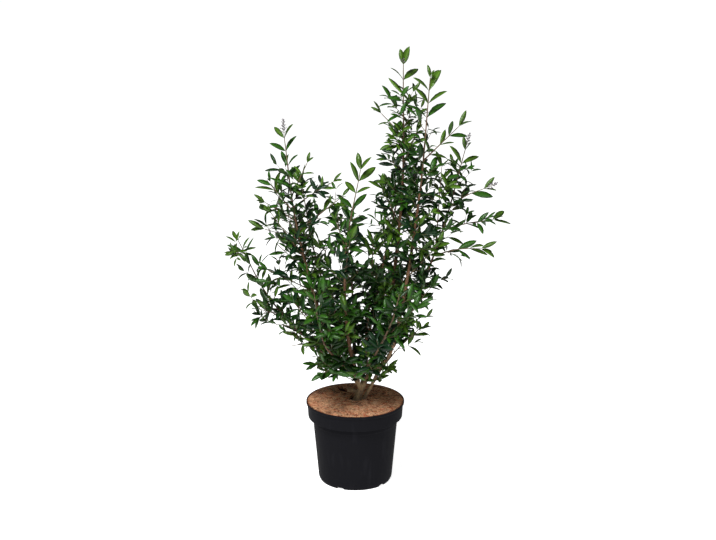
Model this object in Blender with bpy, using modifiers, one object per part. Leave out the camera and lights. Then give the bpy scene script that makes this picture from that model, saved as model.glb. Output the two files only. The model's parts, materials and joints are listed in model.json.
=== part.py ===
"""A privet shrub one metre tall in a black ten-litre nursery pot.

Metres, +Z up. The origin is the centre of the pot's flat underside, and the pot stands on Z = 0.
The pot holds a root ball under a disc of coir. A short trunk stands on the root ball and divides
into limbs. Each limb ends where it enters its mass of foliage, and the mass's own stem grows on
from there. The low masses hang on stems that leave the sides of the limbs.
"""

import math
import random
from collections import namedtuple

import bmesh
import bpy
import numpy as np
from mathutils import Matrix, Vector
from mathutils.bvhtree import BVHTree

MM = 0.001
GAP = 0.3 * MM  # clearance between solids that touch on the real plant
OVERRUN = 2 * MM  # how far a stem is drawn into its bough before it is cut back

# Pot: radii and heights of its outer face, from the underside to the lip.
POT_RADIUS = 138.5 * MM
POT_HEIGHT = 234.5 * MM
POT_WALL = 1.8 * MM
BASE_RADIUS = 100 * MM
BODY_RADIUS_LOW = 104.5 * MM
BODY_RADIUS_HIGH = 120 * MM
BASE_CHAMFER = 9 * MM
COLLAR_HEIGHT = 47 * MM
COLLAR_RADIUS_LOW = 133 * MM
COLLAR_RADIUS_HIGH = 135.4 * MM
LIP_HEIGHT = 7.5 * MM
POT_STEPS = 36
DRAIN_SLOTS = 5
DRAIN_WIDTH = 22 * MM
DRAIN_HEIGHT = 9 * MM
DRAIN_BEARING = math.radians(-114.5)

# Root ball and coir disc.
BALL_CLEARANCE = POT_WALL + 0.6 * MM
BALL_TOP = POT_HEIGHT - 7 * MM
MAT_EDGE_THICKNESS = 6.5 * MM
MAT_CROWN = 3 * MM
MAT_RADIUS = 134.5 * MM
MAT_HOLE_RADIUS = 24 * MM
MAT_SLIT_WIDTH = 3 * MM
MAT_SLIT_BEARING = math.radians(122)
GROUND = BALL_TOP + GAP
FOLIAGE_FLOOR = POT_HEIGHT + 6 * MM  # no leaf hangs lower than this

# Trunk: a short stool, flared at its foot.
TRUNK_FOOT = Vector((6 * MM, 10 * MM, GROUND))
TRUNK_TOP = Vector((24 * MM, 8 * MM, GROUND + 52 * MM))
TRUNK_GIRTHS = ((0.0, 17.0), (0.14, 13.5), (0.35, 12.5), (0.7, 12.0), (0.9, 10.0), (1.0, 7.0))

# A limb leaves its parent at a distance along it, and passes through its knee and shoulder to its
# tip. girth is its radius at the foot in millimetres, and bare is how much of it is bough.
Limb = namedtuple("Limb", "parent along knee shoulder tip girth bare")
LIMBS = {
    "right_tall": Limb(
        "trunk", 0.034, (0.08, 0.016, 0.42), (0.128, 0.02, 0.823), (0.129, 0.02, 1.168), 8.5, 0.19
    ),
    "left_tall": Limb(
        "trunk", 0.038, (-0.076, -0.01, 0.43), (-0.159, -0.02, 0.745), (-0.188, -0.02, 0.974), 7.6, 0.20
    ),
    "middle": Limb(
        "trunk", 0.030, (-0.022, -0.062, 0.46), (-0.024, -0.1, 0.7), (0.012, -0.11, 0.907), 6.6, 0.20
    ),
    "back_right": Limb(
        "trunk", 0.036, (0.045, 0.11, 0.43), (0.1, 0.165, 0.68), (0.145, 0.185, 0.9), 7.0, 0.22
    ),
    "right_second": Limb(
        "right_tall", 0.045, (0.1, -0.016, 0.385), (0.169, -0.047, 0.8), (0.198, -0.05, 1.155), 6.8, 0.17
    ),
    "right_outer": Limb(
        "trunk", 0.008, (0.142, 0.002, 0.465), (0.236, 0.004, 0.715), (0.294, -0.02, 0.95), 6.0, 0.25
    ),
    "far_left": Limb(
        "left_tall", 0.045, (-0.12, 0.024, 0.395), (-0.24, 0.035, 0.524), (-0.315, 0.05, 0.666), 5.4, 0.3
    ),
    "front_right": Limb(
        "middle", 0.045, (0.055, -0.09, 0.4), (0.098, -0.145, 0.51), (0.118, -0.18, 0.6), 5.2, 0.26
    ),
    "front_left": Limb(
        "middle", 0.075, (-0.075, -0.105, 0.42), (-0.097, -0.155, 0.51), (-0.108, -0.18, 0.6), 4.8, 0.26
    ),
    "back_left": Limb(
        "back_right", 0.045, (-0.05, 0.115, 0.42), (-0.115, 0.17, 0.61), (-0.15, 0.19, 0.8), 5.6, 0.24
    ),
    "back_middle": Limb(
        "back_left", 0.06, (-0.006, 0.15, 0.43), (-0.012, 0.2, 0.57), (-0.016, 0.22, 0.69), 4.8, 0.24
    ),
    "centre": Limb(
        "right_tall", 0.05, (0.03, -0.006, 0.42), (0.044, -0.004, 0.56), (0.048, -0.02, 0.67), 5.0, 0.16
    ),
    "inner_left": Limb(
        "left_tall", 0.05, (-0.042, 0.03, 0.42), (-0.07, 0.026, 0.57), (-0.084, 0.0, 0.68), 5.0, 0.16
    ),
}
LIMB_TIP_RADIUS = 1.4 * MM
BOUGH_SIDES = 6
BOUGH_SPACING = 34 * MM

# A shoot leaves its limb at a share of the limb's length and ends at its tip. Its lift raises its
# middle above the straight line. The long ones belong to the limb's own mass of foliage.
Shoot = namedtuple("Shoot", "limb share tip lift")
LONG_SHOOTS = {
    "right_tall": (
        Shoot("right_tall", 0.78, (0.081, 0.028, 1.04), 0.004),
        Shoot("right_tall", 0.69, (0.076, 0.012, 0.932), 0.004),
        Shoot("right_tall", 0.60, (0.084, -0.023, 0.871), 0.004),
    ),
    "right_second": (
        Shoot("right_second", 0.75, (0.267, -0.064, 1.021), 0.0),
        Shoot("right_second", 0.46, (0.17, -0.11, 0.77), 0.0),
    ),
    "right_outer": (
        Shoot("right_outer", 0.79, (0.352, -0.045, 0.84), 0.006),
        Shoot("right_outer", 0.70, (0.363, 0.02, 0.751), 0.004),
        Shoot("right_outer", 0.60, (0.322, -0.042, 0.685), 0.008),
        Shoot("right_outer", 0.36, (0.205, -0.045, 0.575), 0.004),
        Shoot("right_outer", 0.62, (0.232, -0.035, 0.9), 0.0),
    ),
    "middle": (
        Shoot("middle", 0.67, (-0.046, -0.098, 0.763), 0.0),
        Shoot("middle", 0.57, (-0.015, -0.152, 0.73), 0.0),
    ),
    "left_tall": (
        Shoot("left_tall", 0.79, (-0.134, -0.037, 0.913), 0.0),
        Shoot("left_tall", 0.75, (-0.07, -0.058, 0.87), 0.003),
        Shoot("left_tall", 0.73, (-0.227, -0.003, 0.854), 0.0),
        Shoot("left_tall", 0.70, (-0.235, 0.014, 0.797), 0.0),
        Shoot("left_tall", 0.66, (-0.049, -0.065, 0.81), 0.0),
        Shoot("left_tall", 0.63, (-0.235, -0.003, 0.729), 0.0),
        Shoot("left_tall", 0.43, (-0.228, -0.002, 0.61), 0.0),
    ),
    "far_left": (Shoot("far_left", 0.56, (-0.264, 0.005, 0.479), 0.012),),
    "back_right": (
        Shoot("back_right", 0.62, (0.2, 0.15, 0.8), 0.0),
        Shoot("back_right", 0.55, (0.11, 0.235, 0.75), 0.0),
        Shoot("back_right", 0.36, (0.17, 0.12, 0.6), 0.0),
    ),
    "back_left": (Shoot("back_left", 0.62, (-0.195, 0.14, 0.69), 0.0),),
    "front_right": (Shoot("front_right", 0.55, (0.15, -0.12, 0.53), 0.0),),
    "front_left": (Shoot("front_left", 0.55, (-0.155, -0.12, 0.545), 0.0),),
}
LOW_SHOOTS = {
    "low_left": Shoot("left_tall", 0.06, (-0.098, -0.04, 0.34), 0.016),
    "low_front_left": Shoot("front_left", 0.08, (-0.075, -0.12, 0.36), 0.014),
    "low_front": Shoot("middle", 0.05, (0.0, -0.125, 0.345), 0.02),
    "low_front_right": Shoot("front_right", 0.08, (0.064, -0.118, 0.345), 0.014),
    "low_right": Shoot("right_second", 0.05, (0.088, -0.055, 0.335), 0.016),
    "low_right_back": Shoot("right_outer", 0.05, (0.102, 0.06, 0.365), 0.014),
    "low_back_right": Shoot("back_right", 0.08, (0.08, 0.11, 0.355), 0.014),
    "low_back": Shoot("back_middle", 0.06, (0.015, 0.155, 0.365), 0.014),
    "low_back_left": Shoot("back_left", 0.08, (-0.075, 0.105, 0.355), 0.014),
    "low_left_back": Shoot("inner_left", 0.05, (-0.1, 0.05, 0.36), 0.014),
    "side_right": Shoot("right_outer", 0.12, (0.168, -0.035, 0.445), 0.01),
    "under_left": Shoot("far_left", 0.22, (-0.165, -0.035, 0.405), 0.012),
}
# Stems that end in a panicle of unopened buds, and how tall it is.
PANICLES = {"left_tall": 50 * MM, "right_outer": 46 * MM, "right_outer_0": 40 * MM}
PANICLE_TIERS = 3
PANICLE_REACH = 9 * MM  # how far its lowest pair of sprays stands out
BUD_RADIUS = 2.6 * MM

SHOOT_RADIUS = 2.6 * MM
SHOOT_TIP_RADIUS = 1.3 * MM
STEM_SPACING = 60 * MM

# Growth rule: pairs of side twigs, each pair turned a quarter from the last, and pairs of leaves
# alone near a tip.
TWIG_SPACING = 56 * MM
LEAF_SPACING = 36 * MM
QUARTER_TURN = math.radians(90)
TURN_JITTER = math.radians(22)
LEAFY_TIP = 80 * MM  # above this distance from a tip there are leaves and no twigs
SHORT_STEM = 0.2  # a stem shorter than this has leaves and no twigs
SHORT_STEM_SPACING = 26 * MM
TWIG_LENGTH = (52 * MM, 88 * MM)
TWIG_SPREAD = (math.radians(42), math.radians(62))
TWIG_RADIUS = 1.9 * MM
TWIG_LIFT = 0.30
LONG_TWIG = 58 * MM  # a twig this long has two pairs of leaves
LEAF_LENGTH = (68 * MM, 88 * MM)
LEAF_WIDTH_SHARE = 0.42
LEAF_KEEL_SHARE = 0.034  # how far the midrib stands below the edges
LEAF_ARCH_SHARE = 0.05
LEAF_WIDEST = 0.46
LEAF_SPREAD = math.radians(48)
LEAF_SINK = 0.5 * MM
YOUNG_SHARE = 0.70  # size of the leaf at a tip against a full-grown one
GROWN = 220 * MM  # leaves are full-grown this far below a tip
# Where a leaf or a twig doesn't fit, it is tried again turned by an angle and made smaller.
TRIES = ((0.0, 1.0), (0.45, 0.88), (-0.45, 0.88), (0.9, 0.74), (-0.9, 0.74), (0.0, 0.6), (0.0, 0.48))
SPACE_MARGIN = 2.5 * MM
LIMB_MARGIN = 3.0 * MM
SAMPLE = 8 * MM
SEED = 26

UP = Vector((0.0, 0.0, 1.0))


# Scene, collections and materials


def clear_scene():
    for obj in list(bpy.data.objects):
        bpy.data.objects.remove(obj)


def new_collection(name):
    collection = bpy.data.collections.new(name)
    bpy.context.scene.collection.children.link(collection)
    return collection


def material(name, colour, roughness):
    made = bpy.data.materials.new(name)
    made.use_nodes = True
    shader = made.node_tree.nodes["Principled BSDF"]
    shader.inputs["Base Color"].default_value = (*colour, 1.0)
    shader.inputs["Roughness"].default_value = roughness
    shader.inputs["Metallic"].default_value = 0.0
    return made


def add_object(name, mesh, collection, finish):
    obj = bpy.data.objects.new(name, mesh)
    collection.objects.link(obj)
    mesh.materials.clear()
    mesh.materials.append(finish)
    return obj


def applied(obj):
    """The object with its modifiers made part of its mesh."""
    bpy.context.view_layer.update()
    graph = bpy.context.evaluated_depsgraph_get()
    mesh = bpy.data.meshes.new_from_object(obj.evaluated_get(graph))
    obj.modifiers.clear()
    obj.data = mesh
    return obj


def boolean(obj, operation, others, solver="EXACT"):
    """Joins to the object, or cuts from it, every solid in a collection, and removes them."""
    step = obj.modifiers.new(operation.lower(), "BOOLEAN")
    step.operation = operation
    step.operand_type = "COLLECTION"
    step.collection = others
    step.solver = solver
    applied(obj)
    for other in list(others.objects):
        bpy.data.objects.remove(other)
    bpy.data.collections.remove(others)
    return obj


# Lines of growth


def through(points, step=SAMPLE):
    """Points at about the given spacing on a smooth line through the named points."""
    named = [Vector(point) for point in points]
    ends = [named[0] * 2 - named[1], *named, named[-1] * 2 - named[-2]]
    line = []
    for before, start, end, after in zip(ends, ends[1:], ends[2:], ends[3:]):
        span = (end - start).length
        leave = (end - before) * (span / (end - before).length)
        arrive = (after - start) * (span / (after - start).length)
        count = max(2, round(span / step))
        for i in range(count):
            t = i / count
            line.append(
                start * (2 * t**3 - 3 * t**2 + 1)
                + leave * (t**3 - 2 * t**2 + t)
                + end * (3 * t**2 - 2 * t**3)
                + arrive * (t**3 - t**2)
            )
    return [*line, named[-1]]


class Stem:
    """A line of growth with a radius that tapers from its foot to its tip."""

    def __init__(self, points, foot_radius, tip_radius):
        self.points = [Vector(point) for point in points]
        self.marks = [0.0]
        for a, b in zip(self.points, self.points[1:]):
            self.marks.append(self.marks[-1] + (b - a).length)
        self.length = self.marks[-1]
        self.foot_radius = foot_radius
        self.tip_radius = tip_radius

    def at(self, distance):
        """The point at a distance from the foot, and the direction of growth there."""
        distance = min(max(distance, 0.0), self.length)
        last = len(self.points) - 2
        i = min(last, max(0, int(np.searchsorted(self.marks, distance)) - 1))
        a, b = self.points[i], self.points[i + 1]
        share = (distance - self.marks[i]) / (self.marks[i + 1] - self.marks[i])
        return a.lerp(b, share), (b - a).normalized()

    def radius(self, distance):
        share = min(max(distance / self.length, 0.0), 1.0)
        return self.foot_radius + (self.tip_radius - self.foot_radius) * share**0.8

    def part(self, start, end, spacing):
        """Distances that divide this stretch of the stem evenly."""
        count = max(1, round((end - start) / spacing))
        return [start + (end - start) * i / count for i in range(count + 1)]


def tube(stem, start, end, sides, spacing, grow=0.0):
    """A closed mesh round a stretch of the stem, grow thicker all round."""
    curve = bpy.data.curves.new("tube", "CURVE")
    curve.dimensions = "3D"
    curve.bevel_depth = 1.0
    curve.bevel_resolution = sides // 2 - 2
    curve.use_fill_caps = True
    spline = curve.splines.new("POLY")
    distances = stem.part(start, end, spacing)
    spline.points.add(len(distances) - 1)
    for point, distance in zip(spline.points, distances):
        point.co = (*stem.at(distance)[0], 1.0)
        point.radius = stem.radius(distance) + grow
    return mesh_of_curve(curve)


def mesh_of_curve(curve):
    """The curve's solid, with its loose caps welded on."""
    holder = bpy.data.objects.new("curve", curve)
    bpy.context.scene.collection.objects.link(holder)
    bpy.context.view_layer.update()
    graph = bpy.context.evaluated_depsgraph_get()
    mesh = bpy.data.meshes.new_from_object(holder.evaluated_get(graph))
    bpy.data.objects.remove(holder)
    shape = bmesh.new()
    shape.from_mesh(mesh)
    bmesh.ops.remove_doubles(shape, verts=shape.verts, dist=0.01 * MM)
    bmesh.ops.recalc_face_normals(shape, faces=shape.faces)
    shape.to_mesh(mesh)
    shape.free()
    return mesh


# Pot, root ball and coir disc


def turned(name, profile, collection, finish, steps=POT_STEPS):
    """A profile in the XZ plane, listed from its lowest point, turned about the Z axis."""
    mesh = bpy.data.meshes.new(name)
    points = [(radius, 0.0, height) for radius, height in profile]
    mesh.from_pydata(points, [(i, i + 1) for i in range(len(points) - 1)], [])
    obj = add_object(name, mesh, collection, finish)
    screw = obj.modifiers.new("turn", "SCREW")
    screw.axis = "Z"
    screw.steps = screw.render_steps = steps
    screw.use_merge_vertices = True
    screw.merge_threshold = 0.01 * MM
    screw.use_normal_flip = True
    return obj


def collar_foot():
    return POT_HEIGHT - COLLAR_HEIGHT


def pot_profile():
    lip_foot = POT_HEIGHT - LIP_HEIGHT
    return [
        (0.0, 0.0),
        (BASE_RADIUS, 0.0),
        (BODY_RADIUS_LOW, BASE_CHAMFER),
        (BODY_RADIUS_HIGH, collar_foot()),
        (COLLAR_RADIUS_LOW, collar_foot() + 1.5 * MM),
        (COLLAR_RADIUS_HIGH, lip_foot - 1.5 * MM),
        (POT_RADIUS, lip_foot),
        (POT_RADIUS, POT_HEIGHT),
    ]


def drain_cutters(cutters, finish):
    """Blocks that open the pot's lower edge at even spacing."""
    for i in range(DRAIN_SLOTS):
        bearing = DRAIN_BEARING + i * math.tau / DRAIN_SLOTS
        shape = bmesh.new()
        bmesh.ops.create_cube(shape, size=1.0)
        size = Matrix.Diagonal((24 * MM, DRAIN_WIDTH, 2 * DRAIN_HEIGHT, 1.0))
        place = Matrix.Translation((BASE_RADIUS + 4 * MM, 0.0, -0.2 * DRAIN_HEIGHT))
        shape.transform(Matrix.Rotation(bearing, 4, "Z") @ place @ size)
        mesh = bpy.data.meshes.new("drain")
        shape.to_mesh(mesh)
        shape.free()
        cutter = add_object(f"drain_cutter_{i}", mesh, cutters, finish)
        cutter.hide_render = True
        cutter.display_type = "WIRE"


def make_pot(parts, cutters, finishes):
    pot = turned("pot", pot_profile(), parts, finishes["pot"])
    wall = pot.modifiers.new("wall", "SOLIDIFY")
    wall.thickness = POT_WALL
    wall.offset = -1.0
    wall.use_even_offset = True
    drain_cutters(cutters, finishes["pot"])
    drains = pot.modifiers.new("drains", "BOOLEAN")
    drains.operation = "DIFFERENCE"
    drains.operand_type = "COLLECTION"
    drains.collection = cutters
    drains.solver = "EXACT"
    pot.data.shade_smooth()
    return pot


def make_root_ball(parts, finishes):
    step = collar_foot() + 1.5 * MM + BALL_CLEARANCE
    profile = [
        (0.0, BALL_CLEARANCE),
        (BASE_RADIUS - BALL_CLEARANCE - 2.0 * MM, BALL_CLEARANCE),
        (BODY_RADIUS_HIGH - BALL_CLEARANCE, step - 0.3 * MM),
        (COLLAR_RADIUS_LOW - BALL_CLEARANCE, step),
        (COLLAR_RADIUS_HIGH - BALL_CLEARANCE - 0.6 * MM, BALL_TOP),
        (0.0, BALL_TOP),
    ]
    return turned("root_ball", profile, parts, finishes["soil"])


def make_mat(parts, finishes):
    """The coir disc: a low dome with a hole for the trunk and one slit out to its edge."""
    foot = BALL_TOP + GAP
    edge_top = foot + MAT_EDGE_THICKNESS
    profile = [
        (0.0, foot),
        (MAT_RADIUS - 3 * MM, foot),
        (MAT_RADIUS, foot + 3 * MM),
        (MAT_RADIUS - 3 * MM, edge_top),
        (MAT_RADIUS * 0.55, edge_top + MAT_CROWN * 0.8),
        (0.0, edge_top + MAT_CROWN),
    ]
    mat = turned("coir_mat", profile, parts, finishes["coir"])
    hole = bmesh.new()
    place = Matrix.Translation((TRUNK_FOOT.x, TRUNK_FOOT.y, foot))
    bmesh.ops.create_cone(
        hole, cap_ends=True, segments=16, radius1=MAT_HOLE_RADIUS, radius2=MAT_HOLE_RADIUS,
        depth=40 * MM, matrix=place,
    )
    size = Matrix.Diagonal((1.2 * MAT_RADIUS, MAT_SLIT_WIDTH, 40 * MM, 1.0))
    out = Matrix.Rotation(MAT_SLIT_BEARING, 4, "Z")
    slit = bmesh.new()
    slit_place = place @ out @ Matrix.Translation((0.6 * MAT_RADIUS, 0.0, 0.0)) @ size
    bmesh.ops.create_cube(slit, size=1.0, matrix=slit_place)
    openings = new_collection("openings")
    for label, shape in (("mat_hole", hole), ("mat_slit", slit)):
        mesh = bpy.data.meshes.new(label)
        shape.to_mesh(mesh)
        shape.free()
        add_object(label, mesh, openings, finishes["coir"])
    return boolean(applied(mat), "DIFFERENCE", openings)


# Trunk and boughs


def grow_trunk():
    return Stem(through([TRUNK_FOOT, TRUNK_TOP], 2 * MM), 14 * MM, 13 * MM)


def trunk_mesh(grow):
    """The trunk: its foot is level and stands square on the soil, and above that it leans."""
    curve = bpy.data.curves.new("trunk", "CURVE")
    curve.dimensions = "3D"
    curve.bevel_depth = 1.0
    curve.bevel_resolution = 4
    curve.use_fill_caps = True
    spline = curve.splines.new("POLY")
    spline.points.add(len(TRUNK_GIRTHS) - 1)
    for point, (share, girth) in zip(spline.points, TRUNK_GIRTHS):
        lean = max(0.0, share - TRUNK_GIRTHS[1][0])
        place = TRUNK_FOOT.lerp(TRUNK_TOP, lean)
        place.z = TRUNK_FOOT.z + (TRUNK_TOP.z - TRUNK_FOOT.z) * share + grow * (2 * share - 1)
        point.co = (*place, 1.0)
        point.radius = girth * MM + grow
    return mesh_of_curve(curve)


def grow_limbs(trunk):
    """Every limb's whole line, from inside its parent to its tip."""
    limbs = {}
    for name, limb in LIMBS.items():
        parent = trunk if limb.parent == "trunk" else limbs[limb.parent]
        foot = parent.at(limb.along)[0]
        line = through([foot, limb.knee, limb.shoulder, limb.tip])
        limbs[name] = Stem(line, limb.girth * MM, LIMB_TIP_RADIUS)
    return limbs


def cut_clear(obj, limbs, names, finish, solver="EXACT"):
    """Cuts the object back from the trunk and the named boughs, made fatter by the gap."""
    fat = new_collection("fat_limbs")
    add_object("fat_trunk", trunk_mesh(GAP), fat, finish)
    for name in names:
        add_object("fat_bough", bough_mesh(limbs, name, GAP), fat, finish)
    return keep_largest(boolean(obj, "DIFFERENCE", fat, solver))


def bough_mesh(limbs, name, grow=0.0):
    """The bare part of a limb. Grown, it also passes its own end by the gap."""
    stem = limbs[name]
    end = stem.length * LIMBS[name].bare + grow
    return tube(stem, 0.0, end, BOUGH_SIDES, BOUGH_SPACING, grow)


def keep_largest(obj):
    """Drops loose scraps that a cut has left."""
    shape = bmesh.new()
    shape.from_mesh(obj.data)
    left = set(shape.verts)
    islands = []
    while left:
        island, todo = set(), [left.pop()]
        while todo:
            vert = todo.pop()
            island.add(vert)
            for edge in vert.link_edges:
                other = edge.other_vert(vert)
                if other in left:
                    left.remove(other)
                    todo.append(other)
        islands.append(island)
    islands.sort(key=len)
    scraps = [vert for island in islands[:-1] for vert in island]
    bmesh.ops.delete(shape, geom=scraps, context="VERTS")
    shape.to_mesh(obj.data)
    shape.free()
    return obj


def make_boughs(limbs, parts, finishes):
    trunk = add_object("trunk", trunk_mesh(0.0), parts, finishes["bark"])
    trunk.data.shade_smooth()
    names = list(LIMBS)
    for i, name in enumerate(names):
        bough = add_object(f"bough_{name}", bough_mesh(limbs, name), parts, finishes["bark"])
        cut_clear(bough, limbs, names[:i], finishes["bark"])
        bough.data.shade_smooth()


# Masses of foliage


class Space:
    """The room that belongs to each mass: nearer to its own stems than to any other's."""

    def __init__(self, limbs, masses):
        self.limbs = []
        for name, stem in limbs.items():
            for distance in stem.part(0.0, stem.length * LIMBS[name].bare, SAMPLE):
                self.limbs.append((*stem.at(distance)[0], stem.radius(distance)))
        self.limbs = np.array(self.limbs)
        self.stems = {}
        for name, stems in masses.items():
            points = []
            for stem, start in stems:
                points += [stem.at(d)[0] for d in stem.part(start, stem.length, SAMPLE)]
            self.stems[name] = np.array(points)

    def holds(self, name, points):
        """True if the points lie in this mass's room and clear of every bough."""
        points = np.array(points)
        if points[:, 2].min() < FOLIAGE_FLOOR:
            return False
        to_limb = np.linalg.norm(points[:, None] - self.limbs[None, :, :3], axis=2)
        if (to_limb - self.limbs[None, :, 3]).min() < LIMB_MARGIN:
            return False
        own = self.nearest(points, self.stems[name])
        for other, stems in self.stems.items():
            if other != name and (own + SPACE_MARGIN > self.nearest(points, stems)).any():
                return False
        return True

    @staticmethod
    def nearest(points, stems):
        return np.linalg.norm(points[:, None] - stems[None], axis=2).min(axis=1)


def side_shoot(limbs, shoot):
    """The line of a shoot that leaves a limb's side and lifts towards its tip."""
    limb = limbs[shoot.limb]
    foot = limb.at(limb.length * shoot.share)[0]
    tip = Vector(shoot.tip)
    middle = foot.lerp(tip, 0.5) + UP * shoot.lift
    return Stem(through([foot, middle, tip]), SHOOT_RADIUS, SHOOT_TIP_RADIUS)


def plan_masses(limbs):
    """Each mass's stems, with the distance along each at which the mass begins."""
    masses = {}
    for name, limb in LIMBS.items():
        leader = limbs[name]
        stems = [(leader, leader.length * limb.bare - OVERRUN)]
        stems += [(side_shoot(limbs, shoot), 0.0) for shoot in LONG_SHOOTS.get(name, ())]
        masses[name] = stems
    for name, shoot in LOW_SHOOTS.items():
        masses[name] = [(side_shoot(limbs, shoot), 0.0)]
    return masses


def around(direction, turn):
    """A unit vector square to the direction, at this angle round it."""
    side = direction.cross(UP if abs(direction.z) < 0.95 else Vector((1.0, 0.0, 0.0))).normalized()
    return Matrix.Rotation(turn, 3, direction) @ side


def leaf_mesh(root, direction, face, length):
    """A blade of four corners: root, tip and two edges, with its midrib as a keel below."""
    shape = bmesh.new()
    side = direction.cross(face).normalized()
    face = side.cross(direction).normalized()
    keel = length * LEAF_KEEL_SHARE
    wide = root + direction * (length * LEAF_WIDEST) + face * (keel + length * LEAF_ARCH_SHARE)
    edge = side * (length * LEAF_WIDTH_SHARE / 2)
    tip = root + direction * length
    corners = [shape.verts.new(corner) for corner in (root, tip, wide + edge, wide - edge)]
    bmesh.ops.convex_hull(shape, input=corners)
    bmesh.ops.recalc_face_normals(shape, faces=shape.faces)
    mesh = bpy.data.meshes.new("leaf")
    shape.to_mesh(mesh)
    shape.free()
    return mesh


def twig_mesh(foot, tip, radius):
    """A three-sided taper from foot to tip."""
    shape = bmesh.new()
    line = tip - foot
    turn = line.to_track_quat("Z", "Y").to_matrix().to_4x4()
    place = Matrix.Translation(foot.lerp(tip, 0.5)) @ turn
    bmesh.ops.create_cone(
        shape, cap_ends=True, segments=3, radius1=radius, radius2=radius * 0.75,
        depth=line.length, matrix=place,
    )
    mesh = bpy.data.meshes.new("twig")
    shape.to_mesh(mesh)
    shape.free()
    return mesh


def tree_of(mesh):
    corners = [vert.co for vert in mesh.vertices]
    return BVHTree.FromPolygons(corners, [tuple(face.vertices) for face in mesh.polygons])


class Grower:
    """Grows the twigs and leaves of one mass by the seeded rule."""

    def __init__(self, name, space, seed):
        self.name = name
        self.space = space
        self.chance = random.Random(seed)
        self.meshes = []
        self.trees = []
        self.balls = []
        self.leaves = 0

    def keep(self, mesh):
        """Adds a mesh to the mass, and its shape to those that the next ones must not cross."""
        corners = [vert.co for vert in mesh.vertices]
        centre = sum(corners, Vector()) / len(corners)
        self.balls.append((centre, max((corner - centre).length for corner in corners)))
        self.trees.append(tree_of(mesh))
        self.meshes.append(mesh)

    def crosses(self, mesh, free):
        """True if the mesh cuts through one already there, other than those it is free to join."""
        corners = [vert.co for vert in mesh.vertices]
        centre = sum(corners, Vector()) / len(corners)
        radius = max((corner - centre).length for corner in corners)
        own = tree_of(mesh)
        for i, (other, reach) in enumerate(self.balls):
            if i not in free and (other - centre).length < radius + reach:
                if own.overlap(self.trees[i]):
                    return True
        return False

    def leaf(self, root, direction, face, free, length):
        """Adds a leaf of this length if it fits."""
        mesh = leaf_mesh(root - direction * LEAF_SINK, direction, face, length)
        edges = [vert.co.copy() for vert in mesh.vertices]
        edges = [corner for corner in edges if (corner - root).length > 2 * LEAF_SINK]
        spine = [root + direction * (length * part) for part in (0.25, 0.5, 0.75, 1.0)]
        sides = [corner.lerp(end, 0.5) for corner in edges for end in (spine[0], spine[3])]
        if self.space.holds(self.name, edges + spine + sides) and not self.crosses(mesh, free):
            self.keep(mesh)
            self.leaves += 1
            return True
        bpy.data.meshes.remove(mesh)
        return False

    def leaf_pair(self, point, direction, turn, stem, size):
        """Two leaves facing each other across the stem, turned to the light outside."""
        outward = Vector((point.x, point.y, 0.0))
        outward = outward.normalized() if outward.length > MM else Vector((0.0, -1.0, 0.0))
        free = {stem, len(self.meshes)}
        for side in (0.0, math.pi):
            spread = LEAF_SPREAD * self.chance.uniform(0.75, 1.25)
            stray = Vector([self.chance.uniform(-0.4, 0.4) for _ in range(3)])
            full = self.chance.uniform(*LEAF_LENGTH) * size
            for aside, share in TRIES:
                out = around(direction, turn + side + aside)
                blade = (direction * math.cos(spread) + out * math.sin(spread)).normalized()
                face = direction * 0.5 + UP * 0.5 + outward * 0.8 + stray
                if self.leaf(point, blade, face, free, full * share):
                    break

    def tip_leaf(self, tip, direction, face, stem, size):
        full = self.chance.uniform(*LEAF_LENGTH) * size
        for _, share in TRIES:
            if self.leaf(tip - direction * MM, direction, face, {stem}, full * share):
                break

    def twig(self, point, direction, turn, size, stem):
        """A side twig with one or two pairs of leaves and one leaf at its tip."""
        spread = self.chance.uniform(*TWIG_SPREAD)
        full = self.chance.uniform(*TWIG_LENGTH) * size
        for aside, share in TRIES:
            out = around(direction, turn + aside)
            line = direction * math.cos(spread) + out * math.sin(spread) + UP * TWIG_LIFT
            line.normalize()
            length = full * share
            tip = point + line * length
            body = [point.lerp(tip, part) for part in (0.3, 0.5, 0.7, 0.85, 1.0)]
            mesh = twig_mesh(point, tip, TWIG_RADIUS)
            fits = self.space.holds(self.name, body)
            if fits and not self.crosses(mesh, {stem, len(self.meshes) - 1}):
                break
            bpy.data.meshes.remove(mesh)
        else:
            return
        count, leaves = len(self.meshes), self.leaves
        self.keep(mesh)
        self.tip_leaf(tip, line, UP + direction * 0.3, count, size * 0.85)
        turn = self.chance.uniform(-0.5, 0.5)
        for part in (0.5, 0.88) if length > LONG_TWIG else (0.72,):
            self.leaf_pair(point.lerp(tip, part), line, turn, count, size)
            turn += QUARTER_TURN
        if self.leaves == leaves:
            self.meshes.pop(count)
            self.trees.pop(count)
            self.balls.pop(count)

    def panicle(self, tip, direction, height, index):
        """A slender spindle with pairs of bud sprays that shorten towards its end."""
        end = tip + direction * height
        foot = tip - direction * 2 * MM
        body = [foot.lerp(end, part) for part in (0.25, 0.5, 0.75, 1.0)]
        axis = twig_mesh(foot, end, TWIG_RADIUS)
        if not self.space.holds(self.name, body) or self.crosses(axis, {index}):
            bpy.data.meshes.remove(axis)
            return
        count = len(self.meshes)
        self.keep(axis)
        turn = self.chance.uniform(0.0, math.tau)
        for tier in range(PANICLE_TIERS):
            share = 0.4 + 0.5 * tier / PANICLE_TIERS
            reach = PANICLE_REACH * (1.0 - 0.5 * tier / PANICLE_TIERS)
            point = foot.lerp(end, share)
            for side in (0.0, math.pi):
                out = (direction * 0.5 + around(direction, turn + side)).normalized()
                spray = twig_mesh(point, point + out * reach, BUD_RADIUS)
                if self.crosses(spray, {index, count, len(self.meshes) - 1}):
                    bpy.data.meshes.remove(spray)
                    continue
                self.keep(spray)
            turn += QUARTER_TURN

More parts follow.
